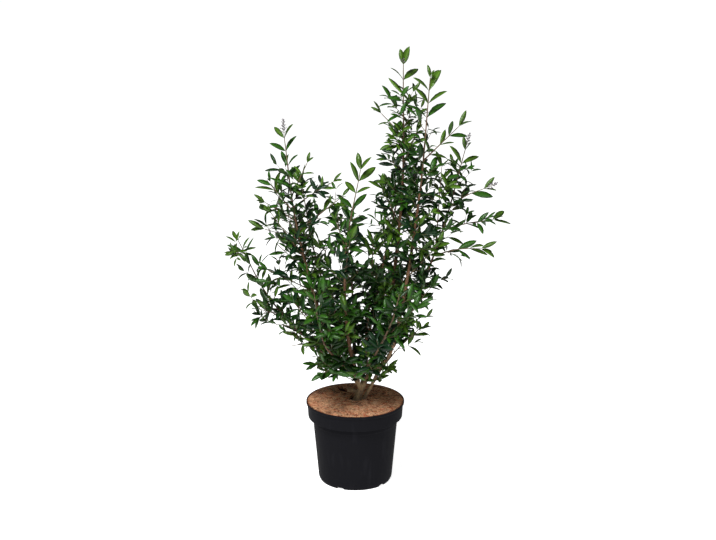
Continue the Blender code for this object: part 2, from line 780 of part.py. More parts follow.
    def clothe(self, stem, start, index, label):
        """Twigs and leaves in opposite pairs up one stem of the mass."""
        distance = start + 12 * MM
        short = stem.length < SHORT_STEM
        leafy = stem.length if short else LEAFY_TIP
        turn = self.chance.uniform(0.0, math.tau)
        while distance < stem.length - 8 * MM:
            point, direction = stem.at(distance)
            left = stem.length - distance
            size = YOUNG_SHARE + (1.0 - YOUNG_SHARE) * min(1.0, left / GROWN)
            if left > leafy:
                for side in (0.0, math.pi):
                    self.twig(point, direction, turn + side, size, index)
                distance += TWIG_SPACING
            else:
                self.leaf_pair(point, direction, turn, index, size)
                distance += SHORT_STEM_SPACING if short else LEAF_SPACING
            turn += QUARTER_TURN + self.chance.uniform(-TURN_JITTER, TURN_JITTER)
        tip, direction = stem.at(stem.length)
        heading = direction
        if label in PANICLES:
            self.panicle(tip, direction, PANICLES[label], index)
            heading = (direction + around(direction, turn) * 0.7).normalized()
        self.tip_leaf(tip, heading, around(direction, turn), index, YOUNG_SHARE)


def make_mass(name, stems, space, seed, limbs, parts, finishes):
    """One solid: a stem, its long shoots, twigs and leaves fused by a single union."""
    grower = Grower(name, space, seed)
    for stem, begin in stems:
        grower.keep(tube(stem, begin, stem.length, 4, STEM_SPACING))
    for index, (stem, begin) in enumerate(stems):
        label = f"{name}_{index - 1}" if index else name
        grower.clothe(stem, max(begin, 12 * MM), index, label)
    mass = add_object(f"foliage_{name}", grower.meshes[0], parts, finishes["leaf"])
    bits = new_collection("bits")
    for mesh in grower.meshes[1:]:
        add_object("bit", mesh, bits, finishes["leaf"])
    boolean(mass, "UNION", bits, "MANIFOLD")
    cut_clear(mass, limbs, list(LIMBS), finishes["leaf"], "MANIFOLD")


def make_foliage(limbs, parts, finishes):
    masses = plan_masses(limbs)
    space = Space(limbs, masses)
    for i, (name, stems) in enumerate(masses.items()):
        make_mass(name, stems, space, SEED + i, limbs, parts, finishes)


def main():
    clear_scene()
    parts = new_collection("potted_privet")
    cutters = new_collection("cutters")
    finishes = {
        "pot": material("black_polypropylene", (0.014, 0.014, 0.016), 0.45),
        "soil": material("peat", (0.03, 0.018, 0.01), 0.95),
        "coir": material("coconut_fibre", (0.30, 0.13, 0.06), 0.95),
        "bark": material("privet_bark", (0.16, 0.12, 0.085), 0.8),
        "leaf": material("privet_leaf", (0.03, 0.09, 0.015), 0.45),
    }
    limbs = grow_limbs(grow_trunk())
    make_boughs(limbs, parts, finishes)
    make_foliage(limbs, parts, finishes)
    make_root_ball(parts, finishes)
    make_mat(parts, finishes)
    make_pot(parts, cutters, finishes)


main()
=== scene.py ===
import json
import math
import random
from collections import namedtuple
from itertools import product

import bmesh
import bpy
import numpy as np
from mathutils import Matrix, Vector, noise

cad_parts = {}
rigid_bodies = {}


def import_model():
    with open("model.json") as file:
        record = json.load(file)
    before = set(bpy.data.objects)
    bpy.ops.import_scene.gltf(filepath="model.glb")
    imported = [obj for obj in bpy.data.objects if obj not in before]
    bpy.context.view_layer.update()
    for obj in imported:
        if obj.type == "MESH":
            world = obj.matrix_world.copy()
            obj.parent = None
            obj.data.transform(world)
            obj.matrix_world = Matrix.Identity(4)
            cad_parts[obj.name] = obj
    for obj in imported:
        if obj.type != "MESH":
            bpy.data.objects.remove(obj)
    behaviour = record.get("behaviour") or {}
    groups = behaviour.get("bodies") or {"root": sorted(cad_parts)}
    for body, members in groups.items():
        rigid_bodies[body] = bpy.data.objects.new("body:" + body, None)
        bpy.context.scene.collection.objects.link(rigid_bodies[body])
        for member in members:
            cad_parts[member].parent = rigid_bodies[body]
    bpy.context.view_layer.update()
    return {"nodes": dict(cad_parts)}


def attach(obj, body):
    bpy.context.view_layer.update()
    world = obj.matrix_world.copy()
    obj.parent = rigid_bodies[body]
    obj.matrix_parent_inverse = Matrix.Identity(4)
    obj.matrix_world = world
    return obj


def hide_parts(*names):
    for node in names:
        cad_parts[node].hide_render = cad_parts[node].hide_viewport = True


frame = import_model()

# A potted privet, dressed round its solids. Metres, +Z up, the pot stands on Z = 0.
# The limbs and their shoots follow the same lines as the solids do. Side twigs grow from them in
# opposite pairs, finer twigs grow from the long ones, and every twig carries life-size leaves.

MM = 0.001
UP = Vector((0.0, 0.0, 1.0))
BODY = "root"

# Pot, as the solid has it.
POT_RADIUS = 138.5 * MM
POT_HEIGHT = 234.5 * MM
POT_WALL = 1.8 * MM
BASE_RADIUS = 100 * MM
BODY_RADIUS_LOW = 104.5 * MM
BODY_RADIUS_HIGH = 120 * MM
BASE_CHAMFER = 9 * MM
COLLAR_HEIGHT = 47 * MM
COLLAR_RADIUS_LOW = 133 * MM
COLLAR_RADIUS_HIGH = 135.4 * MM
LIP_HEIGHT = 7.5 * MM
BASE_RECESS = 1.2 * MM
BASE_RING = (12 * MM, 9 * MM)  # how far in from the base's edge its flat ring starts to rise
# A faint bead below the collar: how far in from the body, and how far below the collar.
BODY_BEAD = ((1.2 * MM, 15 * MM), (0.2 * MM, 13.5 * MM), (0.0, 6 * MM), (0.0, 0.0))
SLOPE = 1.5 * MM  # height over which the collar and the lip step out
SHARP_EDGE = math.radians(38)
POT_ROUNDING = 1.6 * MM
POT_STEPS = 120
DRAIN_SLOTS = 5
DRAIN_WIDTH = 22 * MM
DRAIN_HEIGHT = 9 * MM
DRAIN_CUT = 24 * MM  # how deep a cutter reaches into the wall
DRAIN_BEARING = math.radians(-114.5)

# Coir disc.
MAT_FOOT = POT_HEIGHT - 7 * MM + 0.3 * MM
MAT_THICKNESS = 6.5 * MM
MAT_CROWN = 3 * MM
MAT_RADIUS = 136.2 * MM
MAT_RAGGED = 1.6 * MM
MAT_HOLE_RADIUS = 24 * MM
MAT_SLIT_WIDTH = 3 * MM
# Darker, redder patches: where each lies, in metres, its reach in millimetres and how dark it is.
MAT_DARK_PATCHES = ((-0.112, 0.055, 26, 0.5), (0.06, 0.062, 30, 0.4), (-0.02, 0.1, 24, 0.35))
MAT_SLIT_GAPE = 21 * MM
MAT_GAPE_AT, MAT_GAPE_REACH = 0.52, 0.17  # where the slit gapes, and how far, as shares of its length
MAT_SLIT_BEARING = math.radians(122)
MAT_RINGS = 58
MAT_SPOKES = 300

# Loose coir fibres: a curved thread of unit length, its real sizes, and how many to a square metre.
FIBRE_CURVE = ((-0.5, 0.0, 0.0), (0.05, 0.3, 0.12), (0.5, -0.05, 0.02))
FIBRE_LENGTH = 12 * MM
FIBRE_RADIUS = 0.24 * MM
FIBRE_TURNS = ((-0.2, -0.14, 0.0), (0.2, 0.14, math.tau))
FIBRE_SIZES = ((0.5, -1.3, 0.6), (1.5, 1.3, 1.3))
FIBRE_MARGIN = 6 * MM  # the disc's edge has none
FIBRE_DENSITIES = {"straw": 17000.0, "rust": 26000.0, "dark": 16000.0}

# Trunk: where it stands and leans to, and its radius in millimetres at shares of its height.
GROUND = MAT_FOOT
TRUNK_FOOT = Vector((6 * MM, 10 * MM, GROUND))
TRUNK_TOP = Vector((24 * MM, 8 * MM, GROUND + 52 * MM))
TRUNK_GIRTHS = ((0.0, 15.0), (0.12, 12.0), (0.3, 10.0), (0.6, 8.5), (0.85, 7.5), (1.0, 6.0))

# A limb leaves its parent at a distance along it, and passes through its knee and shoulder to its
# tip. girth is its radius at the foot in millimetres, and bare is how much of it is bough.
Limb = namedtuple("Limb", "parent along knee shoulder tip girth bare")
LIMBS = {
    "right_tall": Limb(
        "trunk", 0.034, (0.08, 0.016, 0.42), (0.128, 0.02, 0.823), (0.129, 0.02, 1.168), 8.5, 0.19
    ),
    "left_tall": Limb(
        "trunk", 0.038, (-0.076, -0.01, 0.43), (-0.159, -0.02, 0.745), (-0.188, -0.02, 0.974), 7.6, 0.20
    ),
    "middle": Limb(
        "trunk", 0.030, (-0.022, -0.062, 0.46), (-0.024, -0.1, 0.7), (0.012, -0.11, 0.907), 6.6, 0.20
    ),
    "back_right": Limb(
        "trunk", 0.036, (0.045, 0.11, 0.43), (0.1, 0.165, 0.68), (0.145, 0.185, 0.9), 7.0, 0.22
    ),
    "right_second": Limb(
        "right_tall", 0.045, (0.1, -0.016, 0.385), (0.169, -0.047, 0.8), (0.198, -0.05, 1.155), 6.8, 0.17
    ),
    "right_outer": Limb(
        "trunk", 0.008, (0.142, 0.002, 0.465), (0.236, 0.004, 0.715), (0.294, -0.02, 0.95), 6.0, 0.25
    ),
    "far_left": Limb(
        "left_tall", 0.045, (-0.12, 0.024, 0.395), (-0.24, 0.035, 0.524), (-0.315, 0.05, 0.666), 5.4, 0.3
    ),
    "front_right": Limb(
        "middle", 0.045, (0.055, -0.09, 0.4), (0.098, -0.145, 0.51), (0.118, -0.18, 0.6), 5.2, 0.26
    ),
    "front_left": Limb(
        "middle", 0.075, (-0.075, -0.105, 0.42), (-0.097, -0.155, 0.51), (-0.108, -0.18, 0.6), 4.8, 0.26
    ),
    "back_left": Limb(
        "back_right", 0.045, (-0.05, 0.115, 0.42), (-0.115, 0.17, 0.61), (-0.15, 0.19, 0.8), 5.6, 0.24
    ),
    "back_middle": Limb(
        "back_left", 0.06, (-0.006, 0.15, 0.43), (-0.012, 0.2, 0.57), (-0.016, 0.22, 0.69), 4.8, 0.24
    ),
    "centre": Limb(
        "right_tall", 0.05, (0.03, -0.006, 0.42), (0.044, -0.004, 0.56), (0.048, -0.02, 0.67), 5.0, 0.16
    ),
    "inner_left": Limb(
        "left_tall", 0.05, (-0.042, 0.03, 0.42), (-0.07, 0.026, 0.57), (-0.084, 0.0, 0.68), 5.0, 0.16
    ),
}
# A limb that leaves the trunk at its very foot stands a little aside of it.
LIMB_FEET_ASIDE = {"right_outer": (13 * MM, -3 * MM, -6 * MM)}
LIMB_TIP_RADIUS = 1.1 * MM
BOUGH_GIRTH = 0.86  # the bark's ridges make up the rest of a bough's girth
BARK_GRAIN = 1.3 * MM  # size of the voxels that join trunk and boughs in one skin
STUB_FOOT = TRUNK_FOOT + Vector((-2 * MM, 6 * MM, 26 * MM))
STUB_REACH = Vector((-25 * MM, 3 * MM, 3 * MM))
STUB_RADII = (6.5 * MM, 5.5 * MM)
STUB_AGE = 0.8
STUB_FACE = TRUNK_FOOT.x - 13 * MM  # bark left of this and below the stub's top is the stub's
STUB_TOP = 42 * MM
ROUGH_FOOT = 90 * MM  # the bark is roughest at the ground, and evens out up to here

# A shoot stands for part of a mass. It leaves its limb at a share of the limb's length and ends at
# its tip. Its lift raises its middle above the straight line. Its limb is the mass's own, or named.
Shoot = namedtuple("Shoot", "mass share tip lift limb", defaults=(0.0, None))
SHOOTS = (
    Shoot("right_tall", 0.78, (0.067, 0.028, 1.052), 0.004),
    Shoot("right_tall", 0.69, (0.076, 0.012, 0.932), 0.004),
    Shoot("right_tall", 0.60, (0.084, -0.023, 0.871), 0.004),
    Shoot("right_second", 0.75, (0.267, -0.064, 1.021)),
    Shoot("right_second", 0.46, (0.17, -0.11, 0.77)),
    Shoot("right_outer", 0.79, (0.341, -0.045, 0.853), 0.006),
    Shoot("right_outer", 0.70, (0.363, 0.02, 0.751), 0.004),
    Shoot("right_outer", 0.60, (0.322, -0.042, 0.685), 0.008),
    Shoot("right_outer", 0.36, (0.205, -0.045, 0.575), 0.004),
    Shoot("right_outer", 0.62, (0.232, -0.035, 0.9)),
    Shoot("middle", 0.67, (-0.046, -0.098, 0.763)),
    Shoot("middle", 0.57, (-0.015, -0.152, 0.73)),
    Shoot("left_tall", 0.79, (-0.134, -0.037, 0.913)),
    Shoot("left_tall", 0.75, (-0.07, -0.058, 0.87), 0.003),
    Shoot("left_tall", 0.73, (-0.227, -0.003, 0.854)),
    Shoot("left_tall", 0.70, (-0.235, 0.014, 0.797)),
    Shoot("left_tall", 0.66, (-0.045, -0.065, 0.83)),
    Shoot("left_tall", 0.63, (-0.235, -0.003, 0.729)),
    Shoot("left_tall", 0.43, (-0.228, -0.002, 0.61)),
    Shoot("far_left", 0.56, (-0.264, 0.005, 0.479), 0.012),
    Shoot("back_right", 0.62, (0.2, 0.15, 0.8)),
    Shoot("back_right", 0.55, (0.11, 0.235, 0.75)),
    Shoot("back_right", 0.36, (0.17, 0.12, 0.6)),
    Shoot("back_left", 0.62, (-0.195, 0.14, 0.69)),
    Shoot("front_right", 0.55, (0.15, -0.12, 0.53)),
    Shoot("front_left", 0.55, (-0.155, -0.12, 0.545)),
    Shoot("low_left", 0.06, (-0.098, -0.04, 0.34), 0.016, "left_tall"),
    Shoot("low_front_left", 0.08, (-0.075, -0.12, 0.36), 0.014, "front_left"),
    Shoot("low_front", 0.05, (0.0, -0.125, 0.345), 0.02, "middle"),
    Shoot("low_front_right", 0.08, (0.064, -0.118, 0.345), 0.014, "front_right"),
    Shoot("low_right", 0.05, (0.088, -0.055, 0.335), 0.016, "right_second"),
    Shoot("low_right_back", 0.05, (0.102, 0.06, 0.365), 0.014, "right_outer"),
    Shoot("low_back_right", 0.08, (0.08, 0.11, 0.355), 0.014, "back_right"),
    Shoot("low_back", 0.06, (0.015, 0.155, 0.365), 0.014, "back_middle"),
    Shoot("low_back_left", 0.08, (-0.075, 0.105, 0.355), 0.014, "back_left"),
    Shoot("low_left_back", 0.05, (-0.1, 0.05, 0.36), 0.014, "inner_left"),
    Shoot("side_right", 0.12, (0.168, -0.035, 0.445), 0.01, "right_outer"),
    Shoot("under_left", 0.22, (-0.165, -0.035, 0.405), 0.012, "far_left"),
    Shoot("low_right", 0.10, (0.083, -0.01, 0.322), 0.0, "right_outer"),
    Shoot("low_left", 0.09, (-0.112, -0.012, 0.345), 0.012, "left_tall"),
    Shoot("under_left", 0.42, (-0.255, -0.01, 0.5), 0.01, "far_left"),
    Shoot("under_left", 0.34, (-0.21, -0.02, 0.46), 0.012, "far_left"),
    Shoot("right_tall", 0.53, (0.08, -0.01, 0.835)),
    Shoot("right_tall", 0.71, (0.16, -0.006, 0.99)),
    Shoot("right_second", 0.38, (0.212, -0.065, 0.69)),
    Shoot("left_tall", 0.27, (-0.163, -0.03, 0.525)),
    Shoot("left_tall", 0.56, (-0.22, -0.02, 0.77)),
    Shoot("left_tall", 0.50, (-0.208, 0.01, 0.68)),
    Shoot("left_tall", 0.38, (-0.128, -0.05, 0.615)),
    Shoot("left_tall", 0.36, (-0.19, 0.01, 0.585)),
    Shoot("low_left", 0.20, (-0.18, -0.03, 0.44), 0.01, "far_left"),
    Shoot("under_left", 0.50, (-0.252, 0.0, 0.485), 0.012, "far_left"),
    Shoot("low_right", 0.08, (0.066, -0.026, 0.308), 0.0, "right_outer"),
    Shoot("low_right", 0.13, (0.094, -0.014, 0.34), 0.0, "right_outer"),
    Shoot("low_front", 0.05, (-0.024, -0.02, 0.308), 0.0, "middle"),
)
SHOOT_RADIUS = 2.2 * MM
SHOOT_TIP_RADIUS = 0.9 * MM
STEM_RING = 10 * MM
NODE_SWELL = 1.12  # a woody stem is thicker at every third ring, where a pair of buds sat
STEM_AGES = (0.1, 0.75, 0.6)  # at the tip, what each metre down adds, and the most
PANICLES = {"left_tall": 52 * MM, "right_outer": 50 * MM, "right_outer_0": 42 * MM, "right_tall": 16 * MM}

# How long a stem's side twigs are, how far below its tip they begin, in millimetres, the size of the
# leaves above them, the size of its closing pair, and how far it grows past its solid, in millimetres.
Habit = namedtuple("Habit", "vigour leafy leaf closing growth", defaults=(1.0, 14))
LEADER_HABIT = Habit(1.0, 60, 1.0)
SHOOT_HABIT = Habit(0.8, 42, 0.85, 0.75)
LOW_HABIT = Habit(0.8, 12, 0.62, 0.8)
HABITS = {
    "right_tall": Habit(1.0, 84, 1.05, 0.9, 12),
    "right_second": Habit(0.75, 120, 1.25, 0.65, 0),
    "right_outer": Habit(0.85, 44, 1.0, 0.7, 6),
    "middle": Habit(1.0, 110, 1.0),
    "left_tall": Habit(0.85, 84, 1.0, 0.85),
    "far_left": Habit(0.42, 96, 1.0, 0.85, 22),
    "back_right": Habit(0.8, 50, 1.0),
    "front_left": Habit(0.9, 20, 0.75, 0.8),
    "front_right": Habit(0.8, 20, 0.62, 0.6, 0),
    "right_tall_0": Habit(0.35, 64, 0.8, 0.7, -6),
    "right_tall_1": Habit(0.4, 50, 0.8, 0.6, -16),
    "right_tall_2": Habit(0.6, 50, 0.8, 0.7, -8),
    "right_second_0": Habit(0.35, 150, 0.9, 0.75, 10),
    "right_second_1": Habit(0.7, 30, 0.7, 0.65, 0),
    "right_outer_0": Habit(0.5, 60, 1.0, 0.75, 6),
    "right_outer_1": Habit(0.7, 104, 1.0, 0.9, 14),
    "right_outer_2": Habit(0.6, 80, 1.0, 0.9, 22),
    "right_outer_3": Habit(0.85, 30, 0.85, 0.8, 6),
    "left_tall_0": Habit(0.5, 70, 0.6, 0.6),
    "left_tall_1": Habit(0.5, 60, 0.7, 0.6),
    "left_tall_2": Habit(0.9, 40, 0.9, 0.8, 20),
    "left_tall_3": Habit(0.9, 36, 0.8, 0.7),
    "left_tall_4": Habit(0.55, 100, 0.8, 0.6),
    "left_tall_5": Habit(1.0, 36, 0.8, 0.75),
    "left_tall_6": Habit(0.9, 36, 0.8, 0.7),
    "far_left_0": Habit(0.9, 50, 0.85, 0.7, 0),
    "centre": Habit(1.0, 50, 1.0, 0.9, 26),
    "inner_left": Habit(0.6, 40, 0.8, 0.7, -8),
    "side_right_0": Habit(0.6, 20, 0.7, 0.8),
    "low_right_1": Habit(0.4, 36, 0.8, 0.8, 4),
    "low_right_2": Habit(0.35, 36, 0.7, 0.7, 0),
    "low_right_3": Habit(0.35, 36, 0.8, 0.8, 0),
    "low_front_1": Habit(0.35, 24, 0.55, 0.6, 0),
    "low_left_1": Habit(0.3, 80, 0.6, 0.7, -8),
}

# Rule of growth.
SEED = 26
SHOOT_SEED = SEED + 100
LATE_SEED = SEED + 300
QUARTER_TURN = math.radians(90)
TURN_JITTER = math.radians(20)
TIP_JITTER = math.radians(8)
NODE_SPACING = (27 * MM, 35 * MM)
LEADER_SPACING = (32 * MM, 42 * MM)
TIP_TURN = math.radians(42)  # how the closing pair stands to the upright plane of its stem
GROWN = 70 * MM  # side twigs reach their full length this far below the first of them
TWIG_LENGTH = (36 * MM, 96 * MM)
TWIG_YOUNG_LENGTH = 40 * MM
SHORTEST_TWIG = 18 * MM
TWIG_SPREAD = (math.radians(44), math.radians(70))
TWIG_LIFT = 0.45
TWIG_RADIUS = 1.15 * MM
TWIG_TIP_RADIUS = 0.5 * MM
TWIG_STEP = 13 * MM
TWIG_NODES = (15 * MM, 22 * MM)
FORKING_TWIG = 72 * MM  # a side twig this long bears finer twigs
FINE_TWIG_LENGTH = (18 * MM, 36 * MM)
FINE_TWIG_SCALE = 0.8
FIRST_PAIR = (9 * MM, 15 * MM)  # from a twig's foot to its first leaves
TWIG_CLEARANCE = 18 * MM  # a twig ends at least this far above the crown's floor
TWIG_AGE = 0.16  # of its bark at the foot, where a new tip is 0 and the trunk is 1
LEADER_LEAF = (52 * MM, 66 * MM)
TWIG_LEAF = (34 * MM, 54 * MM)
LEAF_SPACE = 6.5 * MM  # least distance between the middles of two leaves
# The crown's lowest edge is level over the stool, and rises like a root of the distance to its sides
# and evenly to the front.
CROWN_FLOOR = POT_HEIGHT + 38 * MM
FLOOR_MIDDLE = -15 * MM
FLOOR_LEVEL = 87 * MM
FLOOR_SIDES = (180 * MM, 220 * MM)  # this far past the level part, it has risen this much
FLOOR_FRONT = 0.42
# These hang below the crown's lowest edge. Those of them at the right are young and bright.
SPRIGS = ("low_right_1", "low_right_2", "low_right_3", "low_left_1", "low_front_1", "far_left_0")
SPRIG_FLOOR = POT_HEIGHT + 16 * MM
LOW_TIP = 0.46  # a shoot whose tip is lower than this is a low one
SUNNY_HEIGHT = 0.64  # above this the leaves at a tip take brighter tones: partly young growth, partly painted light from above
TUFT = 7 * MM  # how far the smallest pair at a tip stands past the closing pair
TUFT_SIZE = 0.5
LAST_PAIR = 10 * MM  # the lowest pair on a stem stands at least this far above its bare foot
LEAFY_BOUGH = 100 * MM  # how far down the boughs the lowest twigs stand
LEAFY_FRONT_BOUGH = 190 * MM
BARE_FOOT = 60 * MM  # no twig stands nearer than this to a limb's foot
BARE_SHOOT_FOOT = 12 * MM
BOUGH_OVERLAP = 12 * MM  # how far a woody stem starts inside its bough
STEM_END = 4 * MM  # nothing grows from a stem this near its tip, but its closing pair
LIGHT_SIDE = Vector((-0.1, -0.35, 0.1))  # leaves turn a little to the light they grew in
# Gaps that open towards the front: where each crosses Y = 0, in metres, and its radius in millimetres.
EYE = Vector((0.0078, -4.0, 1.749))
SKY_GAPS = (
    (-0.083, 0.732, 12), (-0.058, 0.633, 10), (0.057, 0.747, 11), (-0.195, 0.745, 12), (0.281, 0.772, 10),
    (0.263, 0.704, 9), (0.226, 0.632, 10), (0.007, 0.561, 12), (0.024, 0.732, 8), (-0.151, 0.477, 12),
    (0.137, 0.718, 10), (-0.158, 0.567, 10), (0.164, 1.015, 8), (0.215, 1.03, 13), (0.185, 0.5, 12),
    (0.067, 0.99, 15), (0.095, 0.906, 9), (0.086, 1.055, 8), (-0.08, 0.78, 8), (-0.221, 0.825, 8),
)
LEAF_GAPS = (  # smaller gaps, which bare twigs may cross
    (0.016, 0.641, 10), (0.202, 0.552, 9), (-0.061, 0.653, 9), (0.205, 0.98, 8), (-0.05, 0.621, 9),
    (-0.118, 0.438, 10), (0.195, 0.65, 8), (0.061, 0.848, 9), (0.068, 0.905, 8), (0.064, 0.791, 8),
    (-0.093, 0.806, 10), (-0.079, 0.768, 8), (0.013, 0.789, 11), (-0.009, 0.833, 8), (-0.225, 0.702, 11),
    (-0.272, 0.783, 9), (-0.252, 0.886, 9), (-0.205, 0.925, 8), (0.321, 0.877, 10), (-0.288, 0.605, 10),
    (-0.202, 0.634, 9), (-0.07, 0.595, 8), (0.005, 0.566, 8), (-0.029, 0.633, 7), (0.195, 0.488, 10),
    (0.1, 0.355, 12), (-0.132, 0.384, 7), (0.248, 0.603, 8), (0.269, 0.712, 10), (-0.04, 0.302, 8),
    (-0.275, 0.53, 9), (0.193, 0.468, 9), (0.238, 0.928, 8),
)
# Where short late twigs end, out in the light: X and Z, in metres, a little before the middle.
LATE_TWIGS = (
    (-0.041, 0.77), (0.107, 1.045), (0.27, 0.8), (0.262, 0.915), (0.176, 0.44), (-0.183, 0.83), (-0.05, 0.75),
    (0.199, 1.01), (-0.161, 0.615), (-0.047, 0.84), (0.259, 0.825), (0.12, 1.09), (0.358, 0.752),
    (-0.231, 0.865), (-0.102, 0.685), (-0.268, 0.475), (-0.153, 0.592), (0.078, 0.315),
    (0.09, 0.324), (0.282, 0.795), (0.192, 0.437), (-0.33, 0.662), (-0.155, 0.54), (-0.3, 0.553),
    (0.062, 0.3), (-0.07, 0.69), (0.022, 0.695), (0.052, 0.69), (0.085, 0.692), (-0.172, 0.517),
    (0.167, 0.4), (-0.212, 0.812), (0.25, 0.812), (0.3, 0.772), (0.27, 0.905),
    (-0.225, 0.547), (-0.244, 0.742),
)
LATE_DEPTH = -20 * MM
LATE_SHORTEST = 22 * MM
LATE_RISE = 5 * MM  # a late twig starts at least this far below its end
LATE_STEP = 12 * MM  # how closely the stems are searched for its foot
LOST_LEAF = 8  # one inner leaf in so many has fallen
TWIG_CHANCE = 0.76  # how many of the places for a side twig bear one
SHADED_CHANCE = 0.55  # the same in the masses that stand in the middle and at the back
SHADED = ("inner", "back")

# Bud panicle: its stalk, its tiers of spurs and the buds on them.
PANICLE_RADII = (0.9 * MM, 0.45 * MM)
PANICLE_TIER = 4.5 * MM
SPUR_LENGTH = (2.5 * MM, 15.5 * MM)  # at the tip and at the foot
SPUR_RADII = (0.5 * MM, 0.4 * MM)
SPUR_BUDS = (0.45, 0.75, 1.0)  # shares of the spur's length
GREEN_AGE = 0.05
BUD_RADIUS = 1.6 * MM
BUD_STRAY = 1.6 * MM
BUD_TURNS = ((-0.7, -0.7, 0.0), (0.7, 0.7, math.tau))
BUD_SIZES = (0.7, 1.15)

# Leaf outline: share of its length, and share of its half width there.
LEAF_STATIONS = ((0.06, 0.12), (0.22, 0.66), (0.44, 1.0), (0.66, 0.92), (0.86, 0.54))
LEAF_THICKNESS = 0.55 * MM
LEAF_FOLD = (math.radians(10), math.radians(24))
LEAF_MIDDLE = 0.55  # share of its length
LEAF_DROOP = 0.4  # how far its tip sinks, for its length and its arch
LEAF_LIFT = (-0.12, 0.2)
LEAF_SIZES = (0.88, 1.12)
SPREAD_SHARES = (0.7, 1.3)
FACE_AHEAD, FACE_UP, FACE_OUT = 0.45, 0.6, 0.35  # what a leaf's face turns to, and how strongly

# How a pair of leaves stands: its spread from the stem and its arch in degrees, how strongly its faces
# turn to the light and how far they stray from it, its width as a share of its length, and how far
# the leaves of a level stem turn to lie flat.
Pose = namedtuple("Pose", "spread arch light stray width level", defaults=(0.5,))
LEAF_POSE = Pose(52, (8, 50), 1.0, 0.5, (0.28, 0.38))
LEADER_POSE = Pose(46, (6, 34), 1.8, 0.35, (0.23, 0.32), 0.1)
TWIG_TIP_POSE = Pose(32, (8, 40), 1.0, 0.4, (0.23, 0.33))
TIP_POSE = Pose(30, (4, 22), 1.8, 0.3, (0.26, 0.34), 0.1)
FLOWERING_POSE = Pose(36, (4, 20), 1.6, 0.2, (0.28, 0.36), 0.1)
UPRIGHT_POSE = Pose(20, (4, 14), 2.4, 0.15, (0.36, 0.44), 0.1)
OPEN_POSE = Pose(52, (10, 30), 1.8, 0.3, (0.22, 0.30), 0.1)
TIP_POSES = {
    "far_left": OPEN_POSE,
    "right_tall": UPRIGHT_POSE,
    "left_tall": FLOWERING_POSE,
    "right_outer": FLOWERING_POSE,
    "right_outer_0": FLOWERING_POSE,
}

# Sprays take their tones from this list: upper side, and how often.
LEAF_TONES = {
    "deep": ("#112f09", 5),
    "mid": ("#275010", 6),
    "olive": ("#3b5a14", 3),
    # shade is the leaf colour darkened to stand for leaves in shade: painted shade
    "shade": ("#0a2811", 4),
    "young": ("#46681b", 2),
}

SIDES = {
    "left": ("left_tall", "far_left", "low_left", "under_left"),
    "inner": ("inner_left", "centre", "low_left_back", "back_left", "low_back_left"),
    "front": ("middle", "front_left", "front_right", "low_front", "low_front_left", "low_front_right"),
    "right": ("right_tall", "right_second", "low_right"),
    "outer": ("right_outer", "side_right", "low_right_back"),
    "back": ("back_right", "back_middle", "low_back", "low_back_right"),
}


# Materials


def linear(code):
    """An sRGB hex colour as a linear RGBA tuple."""
    parts = [int(code[i : i + 2], 16) / 255 for i in (1, 3, 5)]
    return (*(((c + 0.055) / 1.055) ** 2.4 if c > 0.04045 else c / 12.92 for c in parts), 1.0)


def link(tree, source, socket):
    """Links a socket from an output, or from a node's first output in use."""
    if isinstance(source, bpy.types.Node):
        source = next(output for output in source.outputs if output.enabled)
    tree.links.new(source, socket)


def node(tree, kind, inputs=(), **settings):
    """Adds a node with its settings. A dict names its inputs, and a tuple fills those in use in order.

    Each input is given a value, or a node or output to link from.
    """
    made = tree.nodes.new(kind)
    for name, value in settings.items():
        setattr(made, name, value)
    if isinstance(inputs, dict):
        given = [(made.inputs[name], value) for name, value in inputs.items()]
    else:
        given = zip([socket for socket in made.inputs if socket.enabled], inputs)
    for socket, value in given:
        if isinstance(value, (bpy.types.Node, bpy.types.NodeSocket)):
            link(tree, value, socket)
        else:
            socket.default_value = value
    return made


def finish(name, **values):
    """A new material, with constants set on its shader's own sockets, and its Object coordinates."""
    made = bpy.data.materials.new(name)
    made.use_nodes = True
    tree = made.node_tree
    shader = tree.nodes["Principled BSDF"]
    for socket, value in values.items():
        shader.inputs[socket.replace("_", " ")].default_value = value
    return made, tree, shader, node(tree, "ShaderNodeTexCoord").outputs["Object"]


def mottled(name, low, high, scale, detail, **values):
    """A finish that wanders between two colours. Its tree, shader and patches come with it."""
    made, tree, shader, place = finish(name, **values)
    patches = node(tree, "ShaderNodeTexNoise", {"Vector": place, "Scale": scale, "Detail": detail})
    tone = node(tree, "ShaderNodeMix", (patches, linear(low), linear(high)), data_type="RGBA")
    link(tree, tone, shader.inputs["Base Color"])
    return made, tree, shader, patches


